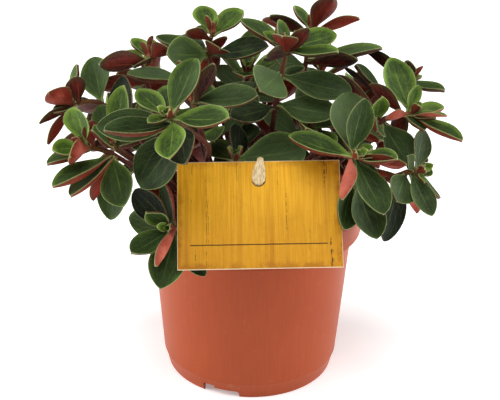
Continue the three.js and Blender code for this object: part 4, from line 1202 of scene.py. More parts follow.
class Shoot:
    """A stem with its whorls and the leaves that are placed on them."""

    def __init__(self, spec: SeenShoot | RuleShoot, seed: int) -> None:
        """Lays out the stem's path through its whorls.

        Args:
            spec: What the shoot is laid out from.
            seed: The start of its own sequence of numbers.
        """
        self.spec = spec
        self.name = spec.name
        self.dice = Dice(seed)
        self.blades: list[Blade] = []
        if isinstance(spec, SeenShoot):
            self.whorls = [Whorl(VIEW.seen(*whorl.place), whorl.faces) for whorl in spec.whorls]
            bends = [VIEW.seen(*bend) for bend in spec.bends]
        else:
            crown, axis = np.array(spec.crown, float), direction(*spec.faces)
            rows = RULE_WHORLS[: spec.whorls]
            self.whorls = [Whorl(crown - axis * row.below, spec.faces) for row in rows]
            bends = []
        heights = (STEM.root_height, STEM.collar_height, STEM.rise_height)
        rise = [np.array([*spec.root, height]) for height in heights]
        self.path = SmoothPath([*rise, *bends, *[whorl.centre for whorl in reversed(self.whorls)]])
        last = len(self.path.points) - 1
        for place, whorl in enumerate(self.whorls):
            whorl.grow_on(self.path, (last - place) / last)
        count = round(self.path.length / STEM.step) * 4
        self.stem_points = np.array([self.path.point_at(k / count) for k in range(count + 1)])


@dataclass(frozen=True)
class Card:
    """The printed card, leaning back against the pot's rim, in millimetres and degrees."""

    width: float = 82.0
    height: float = 55.0
    thickness: float = 0.8
    lean: float = 38.0
    turn: float = 2.1
    place: tuple[float, float, float] = (3.5, -50.6, 111.7)
    hole_from_top: float = 9.9
    gap: float = 0.3

    @property
    def middle(self) -> tuple[float, float, float]:
        """The card's middle, in metres."""
        return tuple(part * MM for part in self.place)

    def frame(self) -> Matrix:
        """The rotation from the card's own axes: across, up and to its front."""
        lean = math.radians(self.lean)
        up = Vector((0, math.sin(lean), math.cos(lean)))
        across = Vector((1, 0, 0))
        basis = Matrix((across, up, across.cross(up))).transposed()
        return basis @ Matrix.Rotation(math.radians(self.turn), 3, "Z")

    def point(self, across: float, up: float, front: float) -> np.ndarray:
        """A point by its distances from the card's middle, in millimetres."""
        return np.array(self.frame()) @ np.array([across, up, front]) + np.array(self.place)

    def flattened(self, points: np.ndarray) -> np.ndarray:
        """Points in the card's own axes."""
        return (points - np.array(self.place)) @ np.array(self.frame())

    def straps(self, ring: np.ndarray) -> list[list[tuple[np.ndarray, float]]]:
        """The tie's two straps, as points with the strap's width at each.

        Args:
            ring: The middle of the ring that holds them.

        Returns:
            The strap in front of the card, and the one behind it.
        """
        hole_top = self.height / 2 - self.hole_from_top
        top = self.height / 2
        lie = self.thickness / 2 + self.gap + Tie.thickness / 2
        towards = self.point(0, 0, 0) - ring
        towards[2] = 0
        hold = ring + unit(towards) * (Tie.ring_radius - Tie.ring_wall / 2)
        in_hole = (self.point(0, hole_top - 1.7, -1.1), Tie.end_width)
        rise = np.array([0.0, 0.0, 1.0])
        front = [
            in_hole,
            (self.point(0, hole_top - 1.4, 0), Tie.end_width),
            (self.point(0, hole_top - 0.4, lie), Tie.width * 0.9),
            (self.point(0.1, hole_top + 1.6, lie), Tie.width),
            (self.point(0.5, hole_top + 6, lie), Tie.width * 0.85),
            (self.point(0.9, top - 0.4, lie), Tie.top_width * 1.3),
            (self.point(1.1, top + Tie.over_top, 0.5), Tie.top_width),
            (self.point(1.1, top + Tie.over_top - 0.2, -1.2), Tie.top_width),
            (hold + rise, Tie.top_width),
        ]
        return [front, [in_hole, (hold - rise, Tie.top_width)]]

    def dress(self) -> Object:
        """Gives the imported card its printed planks."""
        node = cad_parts["card"]
        node.data.materials.clear()
        node.data.materials.append(CardFinish().material(self))
        return node


class Tie:
    """The ribbon through the card's hole and round a stem, in millimetres."""

    width = 7.0
    top_width = 2.8
    end_width = 4.4
    thickness = 0.7
    over_top = 1.3
    shoot = "centre_front"
    ring_share = 0.55
    ring_radius = 3.4
    ring_wall = 1.2
    ring_height = 4.0


class Plant:
    """All the shoots, with each leaf clear of the other shoots, the pot, the card and the tie."""

    SEEN_WAYS = [
        (reach, turn)
        for reach in (1, 1.06, 0.94, 1.12, 0.88, 1.18, 0.82, 1.25)
        for turn in (0, 12, -12, 24, -24)
    ]
    RULE_WAYS = [
        (size, lean, turn)
        for size in (1, 0.84, 0.68)
        for lean in (0, 14, -14, 28)
        for turn in (0, 16, -16, 32, -32)
    ]
    YOUNG = (2, 8.5, 4.6, 20)
    SPARE = 1.5
    RIM_DEPTH = 5

    def __init__(self, sheet: Card) -> None:
        """Grows the plant round a card, which the leaves keep clear of."""
        specs = [*SEEN_SHOOTS, *RULE_SHOOTS]
        self.shoots = [Shoot(spec, 100 + 17 * place) for place, spec in enumerate(specs)]
        self.sheet = sheet
        tied = next(shoot for shoot in self.shoots if shoot.name == Tie.shoot)
        self.ring = tied.path.point_at(Tie.ring_share)
        self.ring_along = tied.path.along_at(Tie.ring_share)
        self.straps = sheet.straps(self.ring)
        self._place_seen()
        self._place_young()
        self._place_rule()

    def _near_things(self, points: np.ndarray) -> bool:
        """Whether any of some points is near the pot's rim, the soil, the card or the tie."""
        away = np.hypot(points[:, 0], points[:, 1])
        height = points[:, 2]
        rim, inner = Pot.rim_radius + self.SPARE, Pot.rim_radius - self.RIM_DEPTH
        near = (height < Pot.height + self.SPARE) & (away < rim) & (away > inner)
        near |= (height < Soil.top + Soil.lump + self.SPARE) & (away <= inner)
        flat = self.sheet.flattened(points)
        near |= (
            (np.abs(flat[:, 0]) < self.sheet.width / 2 + 1)
            & (np.abs(flat[:, 1]) < self.sheet.height / 2 + 1)
            & (np.abs(flat[:, 2]) < self.sheet.thickness / 2 + self.SPARE)
        )
        near |= np.linalg.norm(points - self.ring, axis=1) < Tie.ring_radius + self.SPARE
        for strap in self.straps:
            for (start, _), (end, _) in zip(strap, strap[1:]):
                line = end - start
                share = np.clip((points - start) @ line / line.dot(line), 0, 1)
                nearest = start + np.outer(share, line)
                near |= np.linalg.norm(points - nearest, axis=1) < Tie.width / 2 + 1
        return bool(near.any())

    def _blocked(self, blade: Blade, shoot: Shoot) -> bool:
        """Whether a leaf would meet anything but its own shoot."""
        if self._near_things(blade.samples(2)):
            return True
        return any(
            blade.holds(other.stem_points, STEM.radius + 0.4)
            or any(blade.crosses(placed, 2) for placed in other.blades)
            for other in self.shoots
            if other is not shoot
        )

    def _first_clear(self, ways: Iterable[Blade], shoot: Shoot) -> Optional[Blade]:
        """The first way to place a leaf that is clear, where one is also of its own shoot's leaves."""
        spare = None
        for blade in ways:
            if not self._blocked(blade, shoot):
                if not any(blade.crosses(placed, 6) for placed in shoot.blades):
                    return blade
                spare = spare or blade
        return spare

    def _seen_ways(self, whorl: Whorl, leaf: Leaf, tier: int) -> Iterable[Blade]:
        """The ways to place a leaf that the photograph shows, the truest first."""
        for reach, turn in self.SEEN_WAYS:
            tip = VIEW.reached(whorl.centre, leaf.x, leaf.y, leaf.long * reach, leaf.side)
            foot = whorl.foot(tip, tier)
            blade = Blade(foot, tip, leaf.wide, facing(foot, tip, leaf.show, whorl.axis), turn)
            blade.look = leaf
            yield blade

    def _place_seen(self) -> None:
        """Places the leaves that the photograph shows."""
        for shoot in self.shoots:
            if isinstance(shoot.spec, SeenShoot):
                for whorl, row in zip(shoot.whorls, shoot.spec.whorls):
                    for tier, leaf in enumerate(row.leaves):
                        clear = self._first_clear(self._seen_ways(whorl, leaf, tier), shoot)
                        shoot.blades.append(clear or next(iter(self._seen_ways(whorl, leaf, tier))))

    def _place_young(self) -> None:
        """Places the smallest leaves in the middle of each crown."""
        count, size, wide, lean = self.YOUNG
        for shoot in self.shoots:
            whorl = shoot.whorls[0]
            start = shoot.dice.around(180, 180)
            for place in range(count):
                long = size * shoot.dice.around(1, 0.2)
                tip = whorl.centre + whorl.outward(start + 360 / count * place, lean) * long
                blade = Blade(whorl.foot(tip, 0), tip, wide, whorl.axis, 0)
                blade.look = Leaf(0, 0, long, wide, NEAR, 1.0, 0.95, 0.0, 0.3)
                if not self._blocked(blade, shoot):
                    shoot.blades.append(blade)

    def _place_rule(self) -> None:
        """Places the leaves of the shoots inside the plant and at its rear."""
        for shoot in self.shoots:
            if isinstance(shoot.spec, RuleShoot):
                for place, whorl in enumerate(shoot.whorls):
                    self._place_rule_whorl(shoot, whorl, RULE_WHORLS[place], place)

    def _place_rule_whorl(self, shoot: Shoot, whorl: Whorl, row: RuleWhorl, place: int) -> None:
        """Places one whorl's leaves by the rule.

        Args:
            shoot: The shoot.
            whorl: Its whorl.
            row: The whorl's rule.
            place: The whorl's place below the crown.
        """
        start = shoot.dice.around(180, 180)
        for leaf in range(row.count):
            turn = start + 360 / row.count * leaf + shoot.dice.around(0, 8)
            tilt = row.lean + shoot.dice.around(0, 9)
            size = shoot.dice.around(1, 0.12)
            ways = (
                self._rule_blade(whorl, row, leaf, turn + way[2], tilt + way[1], size * way[0])
                for way in self.RULE_WAYS
            )
            clear = self._first_clear(ways, shoot)
            if clear:
                tone = (0.45, 0.0, -0.35)[place] + 0.25 * math.sin(turn)
                # A painted sheen, which varies with the leaf's turn.
                frost = 0.25 + 0.25 * math.sin(3.1 * turn)
                blush = 0.4 * math.cos(turn)
                clear.look = Leaf(0, 0, clear.long, clear.wide, NEAR, 1.0, tone, frost, blush)
                shoot.blades.append(clear)

    @staticmethod
    def _rule_blade(
        whorl: Whorl, row: RuleWhorl, tier: int, turn: float, tilt: float, size: float
    ) -> Blade:
        """A leaf of a whorl by its turn, its lean from the axis and its size."""
        tip = whorl.centre + whorl.outward(turn, tilt) * row.long * size
        return Blade(whorl.foot(tip, tier), tip, row.wide * size, whorl.axis, 0)


# Meshes


def two_skins(rows: int, columns: int) -> BMesh:
    """A flat grid with an upper and a lower skin, joined round its rim.

    Args:
        rows: Its faces along X.
        columns: Its faces along Y.

    Returns:
        The grid from -1 to 1, with the upper skin at a height of 1 and the lower one at 0.
    """
    work = bmesh.new()
    bmesh.ops.create_grid(work, x_segments=rows, y_segments=columns, size=1.0)
    made = bmesh.ops.extrude_face_region(work, geom=work.faces[:])
    raised = [item for item in made["geom"] if isinstance(item, BMVert)]
    bmesh.ops.translate(work, vec=(0, 0, 1), verts=raised)
    bmesh.ops.recalc_face_normals(work, faces=work.faces[:])
    return work


def spun(
    work: BMesh,
    section: Sequence[tuple[float, float]],
    steps: int,
    scale: float,
    closed: bool = False,
) -> None:
    """Adds a section spun round the Z axis.

    Args:
        work: The mesh that it is added to.
        section: The radius and height of each of its corners.
        steps: How many faces there are round the axis.
        scale: What radii and heights are multiplied by.
        closed: Whether the last corner joins the first.
    """
    line = [work.verts.new((radius * scale, 0, height * scale)) for radius, height in section]
    nexts = line[1:] + (line[:1] if closed else [])
    bmesh.ops.spin(
        work,
        geom=line + [work.edges.new(pair) for pair in zip(line, nexts)],
        cent=(0, 0, 0),
        axis=(0, 0, 1),
        dvec=(0, 0, 0),
        angle=math.tau,
        steps=steps,
        use_merge=True,
        use_duplicate=False,
    )


def mesh_of(work: BMesh, name: str) -> Mesh:
    """Ends a bmesh in a new mesh of a name."""
    mesh = bpy.data.meshes.new(name)
    work.to_mesh(mesh)
    work.free()
    return mesh


def piece(mesh: Mesh, materials: Sequence[Material], smooth: float) -> Object:
    """Makes an object of a mesh, at the origin.

    Args:
        mesh: The mesh, with its place in it.
        materials: Its materials by slot.
        smooth: The angle in degrees up to which edges are shaded smooth.

    Returns:
        The object, named as its mesh is.
    """
    for material in materials:
        mesh.materials.append(material)
    mesh.shade_smooth()
    mesh.set_sharp_from_angle(angle=math.radians(smooth))
    return linked(mesh.name, mesh)


def settle(made: Object, slot: str, *nodes: str) -> Object:
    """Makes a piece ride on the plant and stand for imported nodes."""
    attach(made, "root")
    if nodes:
        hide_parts(*nodes)
    log.info("%s: %d faces", made.name, len(made.data.polygons))
    return made


def corners(mesh: Mesh) -> np.ndarray:
    """The places of a mesh's corners."""
    places = np.zeros(len(mesh.vertices) * 3)
    mesh.vertices.foreach_get("co", places)
    return places.reshape(-1, 3)


def hold(mesh: Mesh, name: str, values: np.ndarray) -> None:
    """Gives a mesh a number at each of its corners."""
    attribute = mesh.attributes.new(name, "FLOAT", "POINT")
    attribute.data.foreach_set("value", np.asarray(values, np.float32))


class Section:
    """Half of a blade's cross-section, rolled up from the midrib to the margin."""

    def __init__(self, roll: float, power: float, reach: float) -> None:
        """Measures the section.

        Args:
            roll: How steep it is at the margin, in degrees.
            power: How late it steepens.
            reach: Its length along the skin, in half widths.
        """
        self.sides = np.linspace(0, 1, 65)
        self.angles = np.radians(roll) * self.sides**power
        step = reach / 64
        middles = (self.angles[1:] + self.angles[:-1]) / 2
        self.out = np.concatenate([[0.0], np.cumsum(np.cos(middles) * step)])
        self.up = np.concatenate([[0.0], np.cumsum(np.sin(middles) * step)])

    def at(self, sides: np.ndarray) -> tuple[np.ndarray, np.ndarray, np.ndarray]:
        """The distance out, the height and the slope at some shares of the half width."""
        return tuple(np.interp(sides, self.sides, row) for row in (self.out, self.up, self.angles))


@dataclass
class Fuzz:
    """The fine pale hairs that stand on margins and stems, in millimetres."""

    count: int = 96
    long: float = 0.62
    thick: float = 0.045
    unruly: float = 0.45
    tuft: Mesh = field(init=False)

    def __post_init__(self) -> None:
        """Makes the upright hairs, in a row, that every tuft is placed from."""
        work = bmesh.new()
        apart = 4.0
        for hair in range(self.count):
            place = Matrix.Translation((hair * apart, 0, 0))
            bmesh.ops.create_cone(
                work, cap_ends=True, segments=3, radius1=1.0, radius2=0.0, depth=1.0, matrix=place
            )
        self.tuft = mesh_of(work, "upright_hairs")
        self.flat = corners(self.tuft)
        self.hair = (self.flat[:, 0] / apart).round().astype(int)
        self.flat[:, 0] -= self.hair * apart

    def grow(self, work: BMesh, roots: np.ndarray, ways: np.ndarray, seed: Dice) -> int:
        """Adds a tuft.

        Args:
            work: The mesh that it is added to.
            roots: Where its hairs stand, in millimetres.
            ways: The ways that they point, roughly.
            seed: The numbers that make them differ.

        Returns:
            How many corners were added.
        """
        strays = np.array([[seed.around(0, self.unruly) for _ in range(3)] for _ in range(self.count)])
        lengths = np.array([seed.around(self.long, self.long * 0.4) for _ in range(self.count)])
        ways = ways + strays
        ways /= np.linalg.norm(ways, axis=1)[:, None]
        aside = np.cross(ways, np.array([0.31, 0.57, 0.76]))
        aside /= np.linalg.norm(aside, axis=1)[:, None]
        beyond = np.cross(ways, aside)
        hair = self.hair
        places = (
            roots[hair]
            + ways[hair] * ((self.flat[:, 2] + 0.4) * lengths[hair])[:, None]
            + (aside[hair] * self.flat[:, :1] + beyond[hair] * self.flat[:, 1:2]) * self.thick
        )
        self.tuft.vertices.foreach_set("co", (places * MM).ravel())
        work.from_mesh(self.tuft)
        return len(places)


@dataclass
class Foliage:
    """The leafy shoots: each blade a thick channelled leaf with a keeled underside, on a noded stem."""

    plant: Plant
    rows: int = 14
    columns: int = 12
    stem_sides: int = 10
    stem_pace: float = 3.0
    stem_thin: float = 0.72
    node_swell: float = 0.28
    shoulder: float = 0.8
    blunt: float = 0.62
    keen: float = 0.78
    rim: float = 0.38
    body: float = 0.75
    keel: float = 0.45
    stem_hairs: float = 4.0
    fuzz: Fuzz = field(default_factory=Fuzz)
    grid: Mesh = field(init=False)

    def __post_init__(self) -> None:
        """Makes the flat leaf that every blade is shaped from, and finds its two margins."""
        work = two_skins(self.rows, self.columns)
        # Along, across and normal are left-handed, which turns the faces back to the outside
        bmesh.ops.reverse_faces(work, faces=work.faces[:])
        self.grid = mesh_of(work, "flat_leaf")
        flat = corners(self.grid)
        place = (flat[:, 0] + 1) / 2
        self.share = 1 - (1 - place) ** 1.35
        self.side = np.sin(flat[:, 1] * math.pi / 2)
        self.upper = flat[:, 2] > 0.5
        paced = np.argsort(flat[:, 0])
        columns = np.unique(flat[:, 1].round(5))
        self.rims, self.insets = (
            [[k for k in paced if self.upper[k] and abs(flat[k, 1] - column) < 1e-4] for column in pair]
            for pair in ((columns[0], columns[-1]), (columns[1], columns[-2]))
        )

    def fringe(self, places: np.ndarray, blade: Blade, seed: Dice, work: BMesh) -> int:
        """Adds the hairs along a blade's margins.

        Args:
            places: The blade's corners, in metres.
            blade: The blade.
            seed: The numbers that make the hairs differ.
            work: The mesh that they are added to.

        Returns:
            How many corners were added.
        """
        each = self.fuzz.count // 2
        roots, ways = [], []
        for rim, inset in zip(self.rims, self.insets):
            picks = np.array([0.07 + 0.93 * (k + seed.roll()) / each for k in range(each)])
            edge, inner = (
                np.stack([np.interp(picks, self.share[row], places[row, axis]) for axis in range(3)], axis=1)
                for row in (rim, inset)
            )
            outward = (edge - inner) / np.linalg.norm(edge - inner, axis=1)[:, None]
            roots.append(edge / MM)
            ways.append(outward + np.outer(0.3 + picks**6, blade.along))
        return self.fuzz.grow(work, np.concatenate(roots), np.concatenate(ways), seed)

    def stem_fringe(self, rings: np.ndarray, seed: Dice, work: BMesh) -> int:
        """Adds the hairs all over a stem.

        Args:
            rings: The corners of its rings, in millimetres.
            seed: The numbers that make the hairs differ.
            work: The mesh that they are added to.

        Returns:
            How many corners were added.
        """
        added = 0
        reach = (len(rings) - 1) * self.stem_pace * self.stem_hairs
        for _ in range(round(reach / self.fuzz.count)):
            roots, ways = [], []
            for _ in range(self.fuzz.count):
                low = int(seed.roll() * (len(rings) - 1))
                side = int(seed.roll() * self.stem_sides)
                between = seed.roll()
                ring = rings[low] * (1 - between) + rings[low + 1] * between
                roots.append(ring[side])
                ways.append(unit(ring[side] - ring.mean(axis=0)))
            added += self.fuzz.grow(work, np.array(roots), np.array(ways), seed)
        return added

    def sections(self, blade: Blade, seed: Dice) -> tuple[Section, Section]:
        """The left and right halves of a blade's cross-section.

        Args:
            blade: The blade.
            seed: The numbers that make it differ a little.

        Returns:
            The halves on the sides that its across axis leaves and enters.
        """
        gentle = Section(seed.around(40, 8), 1.0, 1.08)
        show = blade.look.show
        if 0 < show < 0.88:
            eyeward = blade.across.dot(np.array(VIEW.place) - blade.base) > 0
            rolled = Section(min(40 + (0.9 - show) * 200, 92), 2.2, 1.22)
            return (gentle, rolled) if eyeward else (rolled, gentle)
        return (gentle, Section(seed.around(40, 8), 1.0, 1.08))

    def shaped(self, blade: Blade, seed: Dice) -> np.ndarray:
        """The corners of a blade, in metres.

        Args:
            blade: The blade.
            seed: The numbers that make it differ a little.

        Returns:
            The places of its corners, in the order of the flat leaf's.
        """
        share, side = self.share, self.side
        widest = FORM.widest + 0.04 * np.clip((blade.wide / blade.long - 0.5) * 3, -1, 1)
        inside = np.clip((share - FORM.petiole) / (1 - FORM.petiole), 0, 1)
        swell = np.sin(math.pi * inside ** (math.log(0.5) / math.log(widest)))
        blunt = self.keen if blade.look.show < 0 else seed.around(self.blunt, 0.07)
        outline = np.maximum(swell, 0) ** np.where(inside < widest, self.shoulder, blunt)
        half = np.maximum(blade.wide / 2 * outline, np.where(share < 0.3, 0.8, 0.12))
        left, right = self.sections(blade, seed)
        out, up, slope = (
            np.where(side < 0, first, second)
            for first, second in zip(left.at(np.abs(side)), right.at(np.abs(side)))
        )
        sign = np.where(side < 0, -1.0, 1.0)
        wave = seed.around(0, 0.5) * np.sin(math.pi * (share * 2.2 + seed.around(0, 1))) * np.abs(side) ** 2
        droop = seed.around(-0.06, 0.2) * np.maximum(share - 0.6, 0) ** 2 * blade.long
        arch = blade.long * FORM.arch * 4 * share * (1 - share) + droop
        thin = self.rim + (self.body * (1 - np.abs(side) ** 1.5) + self.keel * np.exp(-((side / 0.16) ** 2)))
        thin = np.where(share < 0.1, np.maximum(thin, 1.3), thin) * (0.7 if blade.wide < 9 else 1.0)
        below = np.where(self.upper, 0.0, thin)
        across = out * half * sign + below * np.sin(slope) * sign
        raised = (up - 0.12) * half + arch + wave - below * np.cos(slope)
        places = (
            blade.base
            + np.outer(share * blade.long, blade.along)
            + np.outer(across, blade.across)
            + np.outer(raised, blade.normal)
        )
        self.margin = np.minimum(half * (1 - np.abs(side)) * 1.1, (1 - share) * blade.long + 0.05)
        return places * MM

    def stem(self, shoot: Shoot, work: BMesh) -> np.ndarray:
        """Adds a shoot's stem, round and swollen where its leaves grow.

        Args:
            shoot: The shoot.
            work: The mesh that it is added to.

        Returns:
            The share of the stem's length at each of its corners.
        """
        steps = max(8, round(shoot.path.length / self.stem_pace))
        ring = bmesh.ops.create_circle(work, cap_ends=False, segments=self.stem_sides, radius=1.0)["verts"]
        unplaced = [vert.co.copy() for vert in ring]
        bmesh.ops.contextual_create(work, geom=ring)
        aside = np.array([1.0, 0.0, 0.0])
        shares: list[float] = []
        for step in range(steps + 1):
            share = step / steps
            if step:
                edges = [e for vert in ring for e in vert.link_edges if e.other_vert(vert) in ring]
                grown = bmesh.ops.extrude_edge_only(work, edges=list(dict.fromkeys(edges)))["geom"]
                fresh = [item for item in grown if isinstance(item, BMVert)]
                ring = [self._above(vert, fresh) for vert in ring]
            along = shoot.path.along_at(share)
            aside = unit(aside - along * aside.dot(along))
            beyond = np.cross(along, aside)
            centre = shoot.path.point_at(share)
            swell = sum(
                math.exp(-((np.linalg.norm(centre - whorl.centre) / 2.6) ** 2)) for whorl in shoot.whorls[1:]
            )
            radius = STEM.radius * (1 - (1 - self.stem_thin) * share) * (1 + self.node_swell * swell)
            for vert, flat in zip(ring, unplaced):
                place = centre + (aside * flat.x + beyond * flat.y) * radius
                vert.co = Vector(place * MM)
            shares.extend([share] * self.stem_sides)
        bmesh.ops.contextual_create(work, geom=ring)
        return np.array(shares)

    @staticmethod
    def _above(vert: BMVert, fresh: list[BMVert]) -> BMVert:
        """The fresh corner that was extruded from a corner."""
        return next(edge.other_vert(vert) for edge in vert.link_edges if edge.other_vert(vert) in fresh)

    def build(self, shoot: Shoot, materials: Sequence[Material]) -> Object:
        """Makes one shoot's piece.

        Args:
            shoot: The shoot.
            materials: The leaf's, the stem's and the hairs' materials.

        Returns:
            The piece.
        """
        seed = Dice(900 + len(shoot.name) * 31 + len(shoot.blades) * 7)
        work = bmesh.new()
        shares = self.stem(shoot, work)
        bmesh.ops.recalc_face_normals(work, faces=work.faces[:])
        for face in work.faces:
            face.material_index = 1
        stem_faces, count = len(work.faces), len(self.share)
        rings = np.array([vert.co[:] for vert in work.verts]).reshape(-1, self.stem_sides, 3) / MM
        shapes: list[tuple[np.ndarray, Blade]] = []
        names = ("share", "side", "edge", "under", "tone", "frost", "blush")
        rows = {name: [np.zeros(len(shares))] for name in names}
        rows["share"] = [shares]
        rows["edge"] = [np.full(len(shares), 3.0)]
        for blade in [*shoot.blades, *self.buds(shoot, seed)]:
            places = self.shaped(blade, seed)
            shapes.append((places, blade))
            self.grid.vertices.foreach_set("co", places.ravel())
            work.from_mesh(self.grid)
            look = blade.look
            # Each leaf's tone, painted sheen and blush; for many leaves the tone and blush also hold painted
            # shade and light.
            tone, blush = look.tone + seed.around(0, 0.08), look.blush + seed.around(0, 0.1)
            flat = [np.full(count, value) for value in (tone, look.frost, blush)]
            under = np.where(self.upper, 0.0, 1.0)
            for row, values in zip(rows.values(), (self.share, self.side, self.margin, under, *flat)):
                row.append(values)
        leaf_faces = len(work.faces)
        added = self.stem_fringe(rings, seed, work)
        for places, blade in shapes:
            added += self.fringe(places, blade, seed, work)
        for values in rows.values():
            values.append(np.zeros(added))
        work.faces.ensure_lookup_table()
        for face in work.faces[stem_faces:leaf_faces]:
            face.material_index = 0
        for face in work.faces[leaf_faces:]:
            face.material_index = 2
        mesh = mesh_of(work, f"foliage_{shoot.name}")
        for name, values in rows.items():
            hold(mesh, name, np.concatenate(values))
        return settle(piece(mesh, materials, 50.0), "leaf", f"shoot_{shoot.name}")

    def buds(self, shoot: Shoot, seed: Dice) -> list[Blade]:
        """The tiny leaves that are still folded in the middle of a crown."""
        whorl, made, wide = shoot.whorls[0], [], 2.9
        start = seed.around(180, 180)
        for place in range(3):
            tip = whorl.centre + whorl.outward(start + 120 * place, 16) * seed.around(5.2, 0.7)
            blade = Blade(whorl.foot(tip, 0), tip, wide, whorl.axis, 0)
            blade.look = Leaf(0, 0, blade.long, wide, NEAR, 1.0, 1.0, 0.0, 0.5)
            made.append(blade)
        return made


@dataclass
class Pot:
    """The round tapered pot, in millimetres, with its rim band, low band and gapped foot ring."""

    height: float = 97.0
    rim_radius: float = 60.0
    lip_height: float = 84.0
    lip_radius: float = 59.5
    bead: float = 0.3
    wall_top: float = 55.1
    band_height: float = 8.9
    band_radius: float = 48.9
    band_step: float = 0.35
    foot_radius: float = 46.9
    foot_wall: float = 1.8
    wall: float = 1.7
    floor_height: float = 5.0
    floor_thickness: float = 1.5
    steps: int = 160
    gaps: int = 3
    first_gap: float = -109.0
    cut: float = 12.0

    def profile(self) -> list[tuple[float, float]]:
        """The pot's section, from the middle of its underside round its rim to the middle of its floor."""
        floor, floor_top = self.floor_height, self.floor_height + self.floor_thickness
        foot, inner_foot = self.foot_radius, self.foot_radius - self.foot_wall
        band, band_top, wall_top = self.band_radius, self.band_height, self.wall_top
        lip, lip_low, rim, top = self.lip_radius, self.lip_height, self.rim_radius, self.height
        return [
            (0, floor),
            (inner_foot - 0.3, floor),
            (inner_foot, 0.3),
            (inner_foot + 0.3, 0),
            (foot - 0.5, 0),
            (foot - 0.05, 0.4),
            (foot + 0.75, band_top * 0.42),
            (band - 0.12, band_top - 0.35),
            (band, band_top - 0.1),
            (band + self.band_step, band_top + 0.2),
            (band + self.band_step + 0.08, band_top + 1.2),
            ((band + wall_top) / 2 + 0.2, (band_top + lip_low) / 2),
            (wall_top, lip_low - 0.3),
            (wall_top + 0.4, lip_low),
            (lip - 0.3, lip_low),
            (lip + self.bead, lip_low + 0.35),
            (lip + self.bead, lip_low + 0.75),
            (lip + 0.03, lip_low + 1.6),
            (rim - 0.25, (lip_low + top) / 2),
            (rim - 0.02, top - 1.6),
            (rim - 0.15, top - 0.7),
            (rim - 0.6, top - 0.15),
            (rim - 1.4, top),
            (rim - 2.2, top - 0.25),
            (rim - 2.7, top - 1.0),
            (rim - 2.9, top - 2.0),
            (rim - 3, lip_low + 2),
            (wall_top - self.wall, lip_low - 1),
            (band - self.wall, band_top),
            (band - self.wall - 1.2, floor_top),
            (0, floor_top),
        ]

    def turned(self) -> BMesh:
        """The pot's body, spun round its axis."""
        work = bmesh.new()
        spun(work, self.profile(), self.steps, MM)
        bmesh.ops.remove_doubles(work, verts=work.verts[:], dist=1e-6)
        bmesh.ops.recalc_face_normals(work, faces=work.faces[:])
        return work

    def cutters(self, width: float, height: float, corner: float, turn: float) -> Object:
        """Rounded blocks that cut the gaps through the foot ring.

        Args:
            width: A gap's width.
            height: Its height.
            corner: The rounding of its upper corners.
            turn: How far it is turned from the middle of its place, in degrees.

        Returns:
            The blocks as one object.
        """
        work = bmesh.new()
        for place in range(self.gaps):
            made = bmesh.ops.create_cube(work, size=1.0)["verts"]
            bmesh.ops.scale(work, vec=(self.cut * MM, width * MM, 2 * height * MM), verts=made)
            upper = [
                edge
                for edge in dict.fromkeys(edge for vert in made for edge in vert.link_edges)
                if all(vert.co.z > 0 for vert in edge.verts)
                and abs(edge.verts[0].co.x - edge.verts[1].co.x) > MM
            ]
            bevelled = bmesh.ops.bevel(
                work, geom=upper, offset=corner * MM, affect="EDGES", segments=4, profile=0.5, material=-1
            )
            block = list(dict.fromkeys([*[v for v in made if v.is_valid], *bevelled["verts"]]))
            bmesh.ops.translate(work, vec=(self.foot_radius * MM, 0, 0), verts=block)
            bearing = math.radians(self.first_gap + 360 / self.gaps * place + turn)
            bmesh.ops.rotate(work, cent=(0, 0, 0), matrix=Matrix.Rotation(bearing, 3, "Z"), verts=block)
        bmesh.ops.recalc_face_normals(work, faces=work.faces[:])
        return linked("cutter", mesh_of(work, "cutter"))

    def build(self) -> Object:
        """Makes the pot, with the gaps cut through its foot ring."""
        made = linked("rough_pot", mesh_of(self.turned(), "rough_pot"))
        cutters = [self.cutters(20.5, 3.8, 1.8, 0.0), self.cutters(7.0, 5.4, 0.8, -8.5)]
        for cutter in cutters:
            cut = made.modifiers.new("gap", "BOOLEAN")
            cut.operation, cut.solver, cut.object = "DIFFERENCE", "EXACT", cutter
        seen = made.evaluated_get(bpy.context.evaluated_depsgraph_get())
        mesh = bpy.data.meshes.new_from_object(seen)
        mesh.name = "nursery_pot"
        mesh.materials.clear()
        for spent in [made, *cutters]:
            bpy.data.objects.remove(spent)
        return settle(piece(mesh, [PotFinish().material()], 32.0), "terracotta_plastic", "pot")


